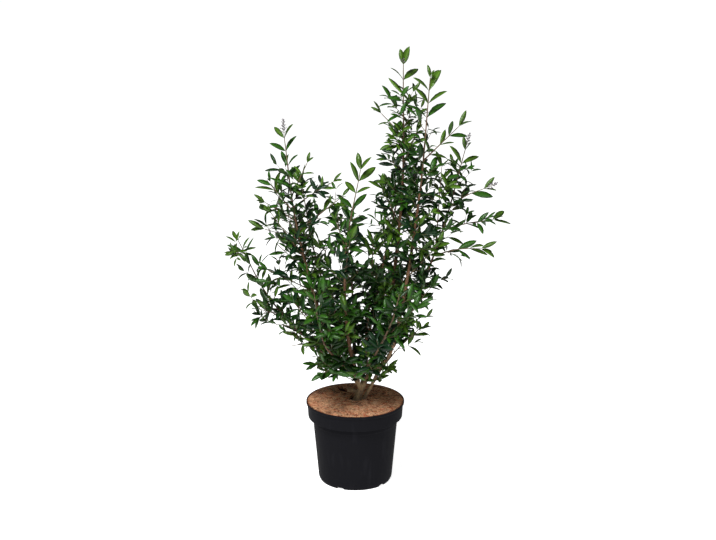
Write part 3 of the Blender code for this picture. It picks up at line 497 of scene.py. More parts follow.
def leaf_upper(tone, code):
    """Privet leaf, upper side: a waxy cuticle, satin, with a pale sunk midrib and soft side veins."""
    made, tree, shader, place = finish(
        f"privet_leaf_{tone}", Roughness=0.34, IOR=1.45, Specular_IOR_Level=0.4
    )
    blade = node(tree, "ShaderNodeUVMap", uv_map="blade")
    split = node(tree, "ShaderNodeSeparateXYZ", (blade,))
    # Distance from the midrib, 0 to 1.
    across = node(tree, "ShaderNodeMath", (split.outputs["Y"], 0.5), operation="SUBTRACT")
    across = node(tree, "ShaderNodeMath", (across,), operation="ABSOLUTE")
    across = node(tree, "ShaderNodeMath", (across, 2.0), operation="MULTIPLY")
    midrib = node(tree, "ShaderNodeMapRange", (across, 0.0, 0.16, 0.55, 0.0))
    # Light and dark patches about 9 mm wide.
    patches = node(tree, "ShaderNodeTexNoise", {"Vector": place, "Scale": 110.0, "Detail": 2.0})
    base = Vector(linear(code)[:3])
    dark, light, rib = base * 0.72, base * 1.32, base * 1.9 + Vector((0.01, 0.012, 0.0))
    patched = node(tree, "ShaderNodeMix", (patches, (*dark, 1.0), (*light, 1.0)), data_type="RGBA")
    veined = node(tree, "ShaderNodeMix", (midrib, patched, (*rib, 1.0)), data_type="RGBA")
    link(tree, veined, shader.inputs["Base Color"])
    # Side veins, seven to a half blade, lean forward from the midrib.
    lean = node(tree, "ShaderNodeMath", (across, -0.28), operation="MULTIPLY")
    along = node(tree, "ShaderNodeMath", (split, lean), operation="ADD")
    waves = node(tree, "ShaderNodeMath", (along, 7 * math.tau), operation="MULTIPLY")
    veins = node(tree, "ShaderNodeMath", (waves,), operation="SINE")
    relief = node(tree, "ShaderNodeBump", {"Strength": 0.35, "Distance": 0.3 * MM, "Height": veins})
    link(tree, relief, shader.inputs["Normal"])
    return made


def leaf_under():
    """Privet leaf, underside: no gloss, paler and greyer than the upper side."""
    return mottled(
        "privet_leaf_underside", "#274218", "#3b5728", 90.0, 2.0,
        Roughness=0.65, IOR=1.4, Specular_IOR_Level=0.2,
    )[0]


def stem_bark():
    """Privet bark: green-purple and smooth on this year's wood, warm brown, then grey and rough.

    Its fissures are about 2.4 mm wide and 8.5 mm long, and its tone changes over 17 mm. The fissures are
    darker and the ridges between them lighter, partly the bark's own tone and partly painted shade and
    light. Pale lenticels about 1 mm wide dot it. The age attribute is 0 on a new twig and 1 at the foot
    of the trunk.
    """
    made, tree, shader, place = finish("privet_bark", Roughness=0.72, IOR=1.45, Specular_IOR_Level=0.25)
    age = node(tree, "ShaderNodeAttribute", attribute_name="age").outputs["Fac"]
    stretched = node(tree, "ShaderNodeMapping", {"Vector": place, "Scale": (1.0, 1.0, 0.28)})
    fine = node(
        tree, "ShaderNodeTexNoise", {"Vector": stretched, "Scale": 420.0, "Detail": 5.0, "Roughness": 0.65}
    )
    broad = node(tree, "ShaderNodeTexNoise", {"Vector": place, "Scale": 60.0, "Detail": 3.0})
    wander = node(tree, "ShaderNodeMath", (broad, 0.5), operation="SUBTRACT")
    wander = node(tree, "ShaderNodeMath", (wander, 0.5), operation="MULTIPLY")
    wood = node(tree, "ShaderNodeMath", (age, wander), operation="ADD")
    ramp = node(tree, "ShaderNodeValToRGB", (wood,))
    stops = ramp.color_ramp.elements
    stops[0].color, stops[1].color = linear("#5a5a3c"), linear("#84705a")
    for position, code in ((0.18, "#62503f"), (0.42, "#6e4c36"), (0.62, "#70563f"), (0.82, "#9a8362")):
        stops.new(position).color = linear(code)
    # Painted shade in the fissures and painted light on the ridges, following the relief's own pattern,
    # partly the bark's own tone.
    shade = node(tree, "ShaderNodeMapRange", (fine, 0.3, 0.7, 0.35, 1.45))
    fissure_shaded = node(tree, "ShaderNodeMix", (1.0, ramp, shade), data_type="RGBA", blend_type="MULTIPLY")
    dots = node(tree, "ShaderNodeTexVoronoi", {"Vector": place, "Scale": 300.0})
    dot = node(tree, "ShaderNodeMapRange", (dots, 0.1, 0.2, 0.6, 0.0))
    dotted = node(tree, "ShaderNodeMix", (dot, fissure_shaded, linear("#a3988a")), data_type="RGBA")
    link(tree, dotted, shader.inputs["Base Color"])
    relief = node(tree, "ShaderNodeBump", {"Strength": 0.6, "Distance": 0.8 * MM, "Height": fine})
    link(tree, relief, shader.inputs["Normal"])
    return made


def bud_skin():
    """Unopened privet buds: a purple-grey bloom that changes over 4 mm, and so from bud to bud."""
    return mottled("privet_flower_bud", "#3d3344", "#807a80", 260.0, 1.0, Roughness=0.6, IOR=1.4)[0]


def moulded_pot():
    """Black polypropylene, injection moulded: satin, with a fine even grain and faint dusty scuffs.

    The grain is drawn 0.6 mm wide, coarser than life, to show. The scuffs are about 18 mm wide and
    run down the wall.
    """
    made, tree, shader, place = finish("moulded_polypropylene", IOR=1.49, Specular_IOR_Level=0.012)
    grain = node(tree, "ShaderNodeTexNoise", {"Vector": place, "Scale": 1600.0, "Detail": 2.0})
    flow = node(tree, "ShaderNodeMapping", {"Vector": place, "Scale": (1.0, 1.0, 0.15)})
    streaks = node(tree, "ShaderNodeTexNoise", {"Vector": flow, "Scale": 55.0, "Detail": 4.0})
    dust = node(tree, "ShaderNodeMapRange", (streaks, 0.55, 0.8, 0.0, 0.35))
    tone = node(tree, "ShaderNodeMix", (dust, linear("#151518"), linear("#26262a")), data_type="RGBA")
    link(tree, tone, shader.inputs["Base Color"])
    rough = node(tree, "ShaderNodeMapRange", (streaks, 0.3, 0.7, 0.52, 0.66))
    link(tree, rough, shader.inputs["Roughness"])
    relief = node(tree, "ShaderNodeBump", {"Strength": 0.25, "Distance": 0.2 * MM, "Height": grain})
    link(tree, relief, shader.inputs["Normal"])
    return made


def peat():
    """Peat compost: dark, matt and crumbly, with crumbs about 3 mm wide."""
    made, tree, shader, crumbs = mottled(
        "peat_compost", "#0a0705", "#2c1e14", 340.0, 6.0, Roughness=0.95, IOR=1.4
    )
    relief = node(tree, "ShaderNodeBump", {"Strength": 0.9, "Distance": 2 * MM, "Height": crumbs})
    link(tree, relief, shader.inputs["Normal"])
    return made


def pressed_coir():
    """Coconut fibre pressed with latex: matt, orange-brown with rusty patches and pale tufts, with painted
    shade in its pits and hollows.

    The ground changes over 42 mm. The rust is in patches of 18 mm, the tufts are 5 mm wide and the
    pits 7 mm.
    """
    made, tree, shader, place = finish("pressed_coir", Roughness=0.93, IOR=1.45, Specular_IOR_Level=0.2)
    broad, rusty, tufts, pits = (
        node(
            tree, "ShaderNodeTexNoise",
            {"Vector": place, "Scale": scale, "Detail": detail, "Roughness": roughness},
        )
        for scale, detail, roughness in ((24, 3, 0.5), (55, 2, 0.5), (210, 4, 0.5), (150, 5, 0.7))
    )
    colour = node(tree, "ShaderNodeMix", (broad, linear("#a36b45"), linear("#dcae86")), data_type="RGBA")
    # Each pattern covers what lies below it, from one value to another, and as strongly as it says.
    # Painted shade: the disc's attribute read here darkens its hollows, and puts a painted shadow along its
    # edge and on its underside, with darker, redder patches.
    painted_shade_and_patches = node(tree, "ShaderNodeAttribute", attribute_name="painted_shade_and_patches").outputs["Fac"]
    for pattern, band, code in (
        (rusty, (0.48, 0.62, 0.0, 0.8), "#a84b2a"),
        (tufts, (0.54, 0.66, 0.0, 0.7), "#f4caa2"),
        (painted_shade_and_patches, None, "#5a2415"),
        # the pits' near-black falls where their relief is sunk: painted shade
        (pits, (0.37, 0.47, 0.95, 0.0), "#23100a"),
    ):
        share = node(tree, "ShaderNodeMapRange", (pattern, *band)) if band else pattern
        colour = node(tree, "ShaderNodeMix", (share, colour, linear(code)), data_type="RGBA")
    link(tree, colour, shader.inputs["Base Color"])
    relief = node(tree, "ShaderNodeBump", {"Strength": 1.0, "Distance": 2.5 * MM, "Height": pits})
    link(tree, relief, shader.inputs["Normal"])
    return made


def coir_fibre(name, low, high):
    """Single coconut fibres: hard, slightly shiny threads that run from straw to red-brown."""
    return mottled(name, low, high, 180.0, 1.0, Roughness=0.7, IOR=1.5)[0]


def paper():
    """Matt white studio paper. Its tooth is drawn 2.5 mm wide, coarser than life, to show at all."""
    return mottled(
        "studio_paper", "#f6f6f6", "#fbfbfb", 400.0, 2.0,
        Roughness=0.9, Emission_Color=(1.0, 1.0, 1.0, 1.0), Emission_Strength=0.85,
    )[0]


# Meshes and pieces


def new_object(name, mesh):
    obj = bpy.data.objects.new(name, mesh)
    bpy.context.scene.collection.objects.link(obj)
    return obj


def mesh_from(name, verts, faces, smooth=True):
    mesh = bpy.data.meshes.new(name)
    mesh.from_pydata(verts, [], faces)
    if smooth:
        mesh.shade_smooth()
    return mesh


def applied(obj):
    """The object with its modifiers made part of its mesh."""
    bpy.context.view_layer.update()
    graph = bpy.context.evaluated_depsgraph_get()
    mesh = bpy.data.meshes.new_from_object(obj.evaluated_get(graph))
    obj.modifiers.clear()
    obj.data = mesh
    return obj


def recalculated(obj):
    """The object with doubles merged and its faces turned outwards."""
    shape = bmesh.new()
    shape.from_mesh(obj.data)
    bmesh.ops.remove_doubles(shape, verts=shape.verts, dist=0.01 * MM)
    bmesh.ops.recalc_face_normals(shape, faces=shape.faces)
    shape.to_mesh(obj.data)
    shape.free()
    return obj


def piece(obj, slot, *nodes):
    """Gives a finished piece its body and hides the solids that it replaces. The slot is not used."""
    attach(obj, BODY)
    if nodes:
        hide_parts(*nodes)
    return obj


def repeated(obj, tree, values):
    """Runs a Geometry Nodes tree on the object, and keeps the result as a plain mesh."""
    step = obj.modifiers.new("repeat", "NODES")
    step.node_group = tree
    for item in tree.interface.items_tree:
        if item.item_type == "SOCKET" and item.in_out == "INPUT" and item.name in values:
            step[item.identifier] = values[item.name]
    return applied(obj)


def new_tree(name, **sizes):
    """A Geometry Nodes tree with a geometry in and out, and a named input for each size."""
    tree = bpy.data.node_groups.new(name, "GeometryNodeTree")
    tree.interface.new_socket("Geometry", in_out="INPUT", socket_type="NodeSocketGeometry")
    for label, kind in sizes.items():
        tree.interface.new_socket(label, in_out="INPUT", socket_type=kind)
    tree.interface.new_socket("Geometry", in_out="OUTPUT", socket_type="NodeSocketGeometry")
    return tree, node(tree, "NodeGroupInput").outputs


def scattered(tree, given, points, shape, turns, sizes, material):
    """Sets a shape on points at random turns and sizes, real and in its material, as the tree's result."""
    seed = {"Seed": given["Seed"]}
    turn = node(
        tree, "FunctionNodeRandomValue", {0: turns[0], 1: turns[1], **seed}, data_type="FLOAT_VECTOR"
    )
    kind, first = ("FLOAT", 2) if isinstance(sizes[0], float) else ("FLOAT_VECTOR", 0)
    size = node(
        tree, "FunctionNodeRandomValue", {first: sizes[0], first + 1: sizes[1], **seed}, data_type=kind
    )
    placed = node(
        tree, "GeometryNodeInstanceOnPoints",
        {"Points": points, "Instance": shape, "Rotation": turn, "Scale": size},
    )
    real = node(tree, "GeometryNodeRealizeInstances", (placed,))
    skin = node(tree, "GeometryNodeSetMaterial", {"Geometry": real, "Material": given[material]})
    node(tree, "NodeGroupOutput", {"Geometry": skin})


# Lines of growth


def through(points, step=8 * MM):
    """Points at about the given spacing on a smooth line through the named points."""
    named = [Vector(point) for point in points]
    ends = [named[0] * 2 - named[1], *named, named[-1] * 2 - named[-2]]
    line = []
    for before, start, end, after in zip(ends, ends[1:], ends[2:], ends[3:]):
        span = (end - start).length
        leave = (end - before) * (span / (end - before).length)
        arrive = (after - start) * (span / (after - start).length)
        count = max(2, round(span / step))
        for i in range(count):
            t = i / count
            line.append(
                start * (2 * t**3 - 3 * t**2 + 1)
                + leave * (t**3 - 2 * t**2 + t)
                + end * (3 * t**2 - 2 * t**3)
                + arrive * (t**3 - t**2)
            )
    return [*line, named[-1]]


class Stem:
    """A line of growth with a radius that tapers from its foot to its tip."""

    def __init__(self, points, foot_radius, tip_radius):
        self.points = [Vector(point) for point in points]
        self.marks = [0.0]
        for a, b in zip(self.points, self.points[1:]):
            self.marks.append(self.marks[-1] + (b - a).length)
        self.length = self.marks[-1]
        self.foot_radius = foot_radius
        self.tip_radius = tip_radius

    def at(self, distance):
        """The point at a distance from the foot, and the direction of growth there."""
        distance = min(max(distance, 0.0), self.length)
        last = len(self.points) - 2
        i = min(last, max(0, int(np.searchsorted(self.marks, distance)) - 1))
        a, b = self.points[i], self.points[i + 1]
        share = (distance - self.marks[i]) / (self.marks[i + 1] - self.marks[i])
        return a.lerp(b, share), (b - a).normalized()

    def radius(self, distance):
        share = min(max(distance / self.length, 0.0), 1.0)
        return self.foot_radius + (self.tip_radius - self.foot_radius) * share**0.8

    def part(self, start, end, spacing):
        """Distances that divide this stretch of the stem evenly."""
        count = max(1, round((end - start) / spacing))
        return [start + (end - start) * i / count for i in range(count + 1)]


def around(direction, turn):
    """A unit vector square to the direction, at this angle round it."""
    side = direction.cross(UP if abs(direction.z) < 0.95 else Vector((1.0, 0.0, 0.0))).normalized()
    return Matrix.Rotation(turn, 3, direction) @ side


def grow_limbs():
    """Every limb's whole line, from inside its parent to its tip."""
    limbs = {"trunk": Stem(through([TRUNK_FOOT, TRUNK_TOP], 2 * MM), 14 * MM, 13 * MM)}
    for name, limb in LIMBS.items():
        foot = limbs[limb.parent].at(limb.along)[0] + Vector(LIMB_FEET_ASIDE.get(name, (0, 0, 0)))
        tip = Vector(limb.tip)
        tip += (tip - Vector(limb.shoulder)).normalized() * HABITS.get(name, LEADER_HABIT).growth * MM
        line = through([foot, limb.knee, limb.shoulder, tip])
        limbs[name] = Stem(line, limb.girth * MM, LIMB_TIP_RADIUS)
    return limbs


def grow_shoot(limbs, shoot, habit):
    limb = limbs[shoot.limb or shoot.mass]
    foot = limb.at(limb.length * shoot.share)[0]
    tip = Vector(shoot.tip)
    tip += (tip - foot).normalized() * habit.growth * MM
    middle = foot.lerp(tip, 0.5) + UP * shoot.lift
    return Stem(through([foot, middle, tip]), SHOOT_RADIUS, SHOOT_TIP_RADIUS)


class Tubes:
    """Closed round tubes, gathered as one list of corners and faces."""

    def __init__(self):
        self.verts = []
        self.faces = []
        self.ages = []

    def add(self, points, radii, ages, sides):
        """A tube through the points, with rounded ends."""
        points = [Vector(point) for point in points]
        first = len(self.verts)
        side = None
        for i, (point, radius, age) in enumerate(zip(points, radii, ages)):
            ahead = points[min(i + 1, len(points) - 1)] - points[max(i - 1, 0)]
            ahead.normalize()
            side = around(ahead, 0.0) if side is None else (side - ahead * side.dot(ahead)).normalized()
            other = ahead.cross(side)
            for k in range(sides):
                turn = math.tau * k / sides
                self.verts.append(point + (side * math.cos(turn) + other * math.sin(turn)) * radius)
                self.ages.append(age)
        last = first + (len(points) - 1) * sides
        for ring in range(first, last, sides):
            for k in range(sides):
                a, b = ring + k, ring + (k + 1) % sides
                self.faces.append((a, b, b + sides, a + sides))
        for ring, end, radius, age in ((first, 0, radii[0], ages[0]), (last, -1, radii[-1], ages[-1])):
            out = (points[end] - points[end + (1 if end == 0 else -1)]).normalized()
            self.verts.append(points[end] + out * radius * 0.6)
            self.ages.append(age)
            pole = len(self.verts) - 1
            for k in range(sides):
                a, b = ring + k, ring + (k + 1) % sides
                self.faces.append((b, a, pole) if end == 0 else (a, b, pole))

    def mesh(self, name):
        made = mesh_from(name, self.verts, self.faces)
        made.attributes.new("age", "FLOAT", "POINT").data.foreach_set("value", self.ages)
        return made


# The crown


Leaf = namedtuple("Leaf", "root direction face length width arch fold tone")


def crown_floor(point):
    """The crown's lowest edge: a bowl that rises to both sides and to the front, over the bare stool."""
    reach, rise = FLOOR_SIDES
    aside = rise * math.sqrt(max(0.0, abs(point.x - FLOOR_MIDDLE) - FLOOR_LEVEL) / reach)
    return CROWN_FLOOR + max(aside, FLOOR_FRONT * max(0.0, -point.y))


def opening(point, gaps=SKY_GAPS):
    """True inside a gap that lets the sky through the crown."""
    share = EYE.y / (EYE.y - point.y)
    seen = EYE.lerp(point, share)
    return any(math.hypot(seen.x - x, seen.z - z) < radius * MM for x, z, radius in gaps)


class Crown:
    """Grows stems, twigs, leaves and bud panicles by the seeded rule."""

    def __init__(self):
        self.chance = None
        self.side = None
        self.floor = crown_floor
        self.leaves = {side: [] for side in SIDES}
        self.twigs = {side: Tubes() for side in SIDES}
        self.buds = []
        self.middles = {}
        self.grown = 0

    def crowded(self, middle):
        """True if another leaf's middle lies too near. Otherwise this one is noted."""
        cell = tuple(math.floor(c / LEAF_SPACE) for c in middle)
        for near in product(*((c - 1, c, c + 1) for c in cell)):
            if any((other - middle).length < LEAF_SPACE for other in self.middles.get(near, ())):
                return True
        self.middles.setdefault(cell, []).append(middle)
        return False

    def leaf(self, root, direction, face, length, tone, pose):
        middle = root + direction * (length * LEAF_MIDDLE)
        bend = math.radians(self.chance.uniform(*pose.arch))
        tip = root + direction * length - UP * (LEAF_DROOP * bend * length)
        if tip.z < self.floor(tip) or opening(middle) or opening(tip) or self.crowded(middle):
            return
        width = length * self.chance.uniform(*pose.width)
        fold = self.chance.uniform(*LEAF_FOLD)
        self.grown += pose is LEAF_POSE
        lost = pose is LEAF_POSE and self.grown % LOST_LEAF == 0
        if not (lost or opening(middle, LEAF_GAPS) or opening(tip, LEAF_GAPS)):
            self.leaves[self.side].append(Leaf(root, direction, face, length, width, bend, fold, tone))

    def leaf_pair(self, point, direction, turn, length, tone, pose=LEAF_POSE):
        """Two leaves facing each other across the stem. On a level twig they turn to lie flat."""
        outward = Vector((point.x, point.y, 0.0))
        outward = outward.normalized() if outward.length > MM else Vector((0.0, -1.0, 0.0))
        level = pose.level * math.sqrt(max(0.0, 1.0 - abs(direction.z)))
        flat = direction.cross(UP)
        flat = flat.normalized() if flat.length > 0.1 else around(direction, turn)
        for side in (0.0, math.pi):
            out = around(direction, turn + side)
            out = out.lerp(flat if out.dot(flat) > 0.0 else -flat, level).normalized()
            tilt = math.radians(pose.spread) * self.chance.uniform(*SPREAD_SHARES)
            blade = direction * math.cos(tilt) + out * math.sin(tilt)
            blade = (blade + UP * self.chance.uniform(*LEAF_LIFT)).normalized()
            stray = Vector([self.chance.uniform(-pose.stray, pose.stray) for _ in range(3)])
            face = direction * FACE_AHEAD + UP * FACE_UP + outward * FACE_OUT
            face = face + LIGHT_SIDE * pose.light + stray
            self.leaf(point, blade, face, length * self.chance.uniform(*LEAF_SIZES), tone, pose)

    def twig_line(self, foot, heading, length, lift):
        """A line that lifts towards the light as it grows."""
        steps = max(2, round(length / TWIG_STEP))
        line = [foot]
        for _ in range(steps):
            stray = Vector([self.chance.uniform(-0.07, 0.07) for _ in range(3)])
            heading = (heading + UP * (lift / steps) + stray).normalized()
            line.append(line[-1] + heading * (length / steps))
        return line

    def twig(self, foot, direction, turn, length, tone, fine=False, heading=None):
        """A side twig with opposite leaves and a closing pair. A long one bears finer twigs."""
        if heading is None:
            spread = self.chance.uniform(*TWIG_SPREAD)
            heading = direction * math.cos(spread) + around(direction, turn) * math.sin(spread)
        line = self.twig_line(foot, heading, length, TWIG_LIFT)
        scale = FINE_TWIG_SCALE if fine else 1.0
        stem = Stem(line, TWIG_RADIUS * scale, TWIG_TIP_RADIUS)
        if line[-1].z < self.floor(line[-1]) + TWIG_CLEARANCE or opening(line[-1]):
            return
        ages = [TWIG_AGE * (1 - mark / stem.length) for mark in stem.marks]
        self.twigs[self.side].add(line, [stem.radius(mark) for mark in stem.marks], ages, 5)
        turn = self.chance.uniform(-0.4, 0.4)
        distance = self.chance.uniform(*FIRST_PAIR) * scale
        forks = 0 if fine or length < FORKING_TWIG else 2
        while distance < stem.length - STEM_END:
            point, ahead = stem.at(distance)
            share = distance / stem.length
            size = self.chance.uniform(*TWIG_LEAF) * (0.74 + 0.26 * math.sin(math.pi * share)) * scale**0.5
            self.leaf_pair(point, ahead, turn, size, tone)
            if forks and share > 0.2:
                fork_length = self.chance.uniform(*FINE_TWIG_LENGTH)
                for side in (0.0, math.pi):
                    self.twig(point, ahead, turn + QUARTER_TURN + side, fork_length, tone, fine=True)
                forks -= 1
            distance += self.chance.uniform(*TWIG_NODES)
            turn += QUARTER_TURN
        tip, ahead = stem.at(stem.length)
        self.leaf_pair(tip, ahead, turn, self.chance.uniform(*TWIG_LEAF) * 0.75, tone, TWIG_TIP_POSE)

    def late_twigs(self, stems):
        """Short twigs from the nearest stem below, out to where the light still reaches in."""
        self.floor = lambda point: SPRIG_FLOOR
        for i, (x, z) in enumerate(LATE_TWIGS):
            self.chance = random.Random(LATE_SEED + i)
            tip = Vector((x, LATE_DEPTH, z))
            near = None
            for stem, start, side in stems:
                for mark in stem.part(max(start, 0.0), stem.length - STEM_END, LATE_STEP):
                    foot = stem.at(mark)[0]
                    reach = (tip - foot).length
                    if reach > LATE_SHORTEST and foot.z < tip.z - LATE_RISE:
                        if near is None or reach < near[0]:
                            near = (reach, foot, side)
            reach, foot, self.side = near
            ahead = (tip - foot).normalized()
            tone = "young" if z < LOW_TIP and x > 0.0 else self.chance.choice(("mid", "olive", "deep"))
            self.twig(foot, ahead, 0.0, reach, tone, heading=ahead)

    def panicle(self, tip, direction, height):
        """A small cone of unopened buds past the end of a stem."""
        line = self.twig_line(tip, direction, height, 0.1)
        stem = Stem(line, *PANICLE_RADII)
        tubes = self.twigs[self.side]
        tubes.add(line, [stem.radius(mark) for mark in stem.marks], [GREEN_AGE] * len(line), 4)
        shortest, longest = SPUR_LENGTH
        turn, distance = self.chance.uniform(0.0, math.tau), 0.3 * height
        while distance < stem.length:
            point, ahead = stem.at(distance)
            reach = (longest - shortest) * (1.0 - distance / stem.length) + shortest
            for side in (0.0, math.pi):
                out = (ahead * 0.55 + around(ahead, turn + side) * 0.85).normalized()
                end = point + out * reach
                tubes.add([point, end], SPUR_RADII, (GREEN_AGE, GREEN_AGE), 4)
                for share in SPUR_BUDS:
                    stray = Vector([self.chance.uniform(-BUD_STRAY, BUD_STRAY) for _ in range(3)])
                    self.buds.append(point.lerp(end, share) + stray)
            turn += QUARTER_TURN
            distance += PANICLE_TIER
        self.buds.append(line[-1])

    def clothe(self, stem, start, label, habit):
        """Leaves and side twigs in opposite pairs, from the tip of one stem down to its foot."""
        tones = [tone for tone, (_, share) in LEAF_TONES.items() for _ in range(share)]
        often = SHADED_CHANCE if self.side in SHADED else TWIG_CHANCE
        leafy = habit.leafy * MM
        tip, direction = stem.at(stem.length)
        turn = TIP_TURN + self.chance.uniform(-TIP_JITTER, TIP_JITTER)
        closing = self.chance.uniform(*LEADER_LEAF) * habit.closing
        bright = label.startswith("low_right_")
        # Partly painted light: high tips take brighter tones, as young growth and as light from above, and
        # lower tips may take the deep tone, in part as painted shade.
        sunny = tip.z > SUNNY_HEIGHT or bright
        tip_tones = ("mid", "olive", "young") if sunny else ("mid", "olive", "deep")
        if bright:
            tip_tones = ("olive", "young", "young")
        tone = tip_tones[1 if sunny else 0]
        self.leaf_pair(tip, direction, turn, closing, tone, TIP_POSES.get(label, TIP_POSE))
        if label not in TIP_POSES:
            past = tip + direction * TUFT
            self.leaf_pair(past, direction, turn + QUARTER_TURN, closing * TUFT_SIZE, tone, TIP_POSE)
        if label in PANICLES:
            self.panicle(tip, direction, PANICLES[label])
        left = self.chance.uniform(*LEADER_SPACING)
        while left < stem.length - start - LAST_PAIR:
            jitter = TIP_JITTER if left < leafy else TURN_JITTER
            turn += QUARTER_TURN + self.chance.uniform(-jitter, jitter)
            point, direction = stem.at(stem.length - left)
            if left < leafy:
                size = self.chance.uniform(*LEADER_LEAF) * habit.leaf
                self.leaf_pair(point, direction, turn, size, self.chance.choice(tip_tones), LEADER_POSE)
                left += self.chance.uniform(*LEADER_SPACING) * min(1.0, habit.leaf + 0.1)
                continue
            grown = min(1.0, (left - leafy) / GROWN)
            tone = self.chance.choice(tones)
            for side in (0.0, math.pi):
                full = self.chance.uniform(*TWIG_LENGTH)
                length = TWIG_YOUNG_LENGTH + (full * habit.vigour - TWIG_YOUNG_LENGTH) * grown
                if length > SHORTEST_TWIG and self.chance.random() < often:
                    self.twig(point, direction, turn + side, length, tone)
            size = self.chance.uniform(*TWIG_LEAF) * min(1.0, habit.leaf + 0.1)
            self.leaf_pair(point, direction, turn, size, tone)
            left += self.chance.uniform(*NODE_SPACING)

    def grow(self, limbs):
        """Clothes every limb and shoot. Returns each woody stem, where it starts and its side."""
        side_of = {mass: side for side, masses in SIDES.items() for mass in masses}
        stems = []
        for i, (name, limb) in enumerate(LIMBS.items()):
            self.chance = random.Random(SEED + i)
            self.side = side_of[name]
            stem = limbs[name]
            start = stem.length * limb.bare
            stems.append((stem, start - BOUGH_OVERLAP, self.side))
            leafy = LEAFY_FRONT_BOUGH if name.startswith("front") else LEAFY_BOUGH
            self.clothe(stem, max(start - leafy, BARE_FOOT), name, HABITS.get(name, LEADER_HABIT))
        for i, shoot in enumerate(SHOOTS):
            self.chance = random.Random(SHOOT_SEED + i)
            self.side = side_of[shoot.mass]
            number = sum(other.mass == shoot.mass for other in SHOOTS[:i])
            label = f"{shoot.mass}_{number}"
            self.floor = (lambda point: SPRIG_FLOOR) if label in SPRIGS else crown_floor
            habit = HABITS.get(label, LOW_HABIT if shoot.tip[2] < LOW_TIP else SHOOT_HABIT)
            stem = grow_shoot(limbs, shoot, habit)
            stems.append((stem, 0.0, self.side))
            self.clothe(stem, BARE_SHOOT_FOOT, label, habit)
        self.late_twigs(stems)
        return stems


def leaf_pieces(crown, finishes):
    """Each side's leaves as one mesh. A blade is a thin closed lens, folded at its midrib."""
    tones = list(LEAF_TONES)
    for side, leaves in crown.leaves.items():
        *measures, tone = zip(*leaves)
        root, ahead, face = (np.array(measure) for measure in measures[:3])
        length, width, arch, fold = (np.array(measure)[:, None] for measure in measures[3:])
        tone = np.array([tones.index(label) for label in tone])
        across = np.cross(ahead, face)
        across /= np.linalg.norm(across, axis=1)[:, None]
        face = np.cross(across, ahead)
        rows = [root]
        blade = [(0.0, 0.5)]
        for share, wide in LEAF_STATIONS:
            bend = arch * share
            middle = root + (ahead * np.sin(bend) - face * (1 - np.cos(bend))) * length / arch
            normal = face * np.cos(bend) + ahead * np.sin(bend)
            half = width / 2 * wide
            up = normal * half * np.sin(fold)
            out = across * half * np.cos(fold)
            rows += [middle + up - out, middle, middle + up + out, middle - normal * LEAF_THICKNESS]
            blade += [(share, 0.0), (share, 0.5), (share, 1.0), (share, 0.5)]
        bend = arch
        rows.append(root + (ahead * np.sin(bend) - face * (1 - np.cos(bend))) * length / arch)
        blade.append((1.0, 0.5))
        verts = np.stack(rows, axis=1).reshape(-1, 3)
        # Corners of one blade: 0 is the root, then left, middle, right and keel at each station.
        strips = ((1, 2, 0), (2, 3, 0), (3, 4, 1), (4, 1, 1))
        faces, under = [], []
        last = 4 * (len(LEAF_STATIONS) - 1)
        for a, b, below in strips:
            faces.append((0, b, a))
            under.append(below)
            for ring in range(0, last, 4):
                faces.append((ring + a, ring + b, ring + b + 4, ring + a + 4))
                under.append(below)
            faces.append((last + a, last + b, last + 5))
            under.append(below)
        step = len(blade)
        every = [tuple(c + step * i for c in corners) for i in range(len(leaves)) for corners in faces]
        mesh = mesh_from(f"leaves_{side}", verts.tolist(), every)
        slots = np.where(np.array(under)[None, :] > 0, len(tones), tone[:, None])
        mesh.polygons.foreach_set("material_index", slots.reshape(-1).astype(np.int32))
        corner = np.array([c for corners in faces for c in corners])
        layer = mesh.uv_layers.new(name="blade")
        layer.data.foreach_set("uv", np.tile(np.array(blade)[corner], (len(leaves), 1)).reshape(-1))
        obj = new_object(f"leaves_{side}", mesh)
        for label in tones:
            mesh.materials.append(finishes[f"leaf_{label}"])
        mesh.materials.append(finishes["leaf_under"])
        piece(obj, "foliage", *(f"foliage_{mass}" for mass in SIDES[side]))


def twig_pieces(crown, finishes):
    """Each side's thin twigs and panicle stalks as one mesh."""
    for side, tubes in crown.twigs.items():
        obj = new_object(f"twigs_{side}", tubes.mesh(f"twigs_{side}"))
        obj.data.materials.append(finishes["bark"])
        piece(obj, "bark")


def stem_piece(stems, finishes):
    """The woody stems inside the masses, a little swollen at each pair of buds."""
    tubes = Tubes()
    tip_age, ageing, oldest = STEM_AGES
    for stem, start, _ in stems:
        marks = stem.part(max(start, 0.0), stem.length, STEM_RING)
        radii = [stem.radius(mark) * (1.0 if i % 3 else NODE_SWELL) for i, mark in enumerate(marks)]
        ages = [min(oldest, tip_age + ageing * (stem.length - mark)) for mark in marks]
        tubes.add([stem.at(mark)[0] for mark in marks], radii, ages, 8)
    obj = new_object("stems", tubes.mesh("stems"))
    obj.data.materials.append(finishes["bark"])
    piece(obj, "bark")


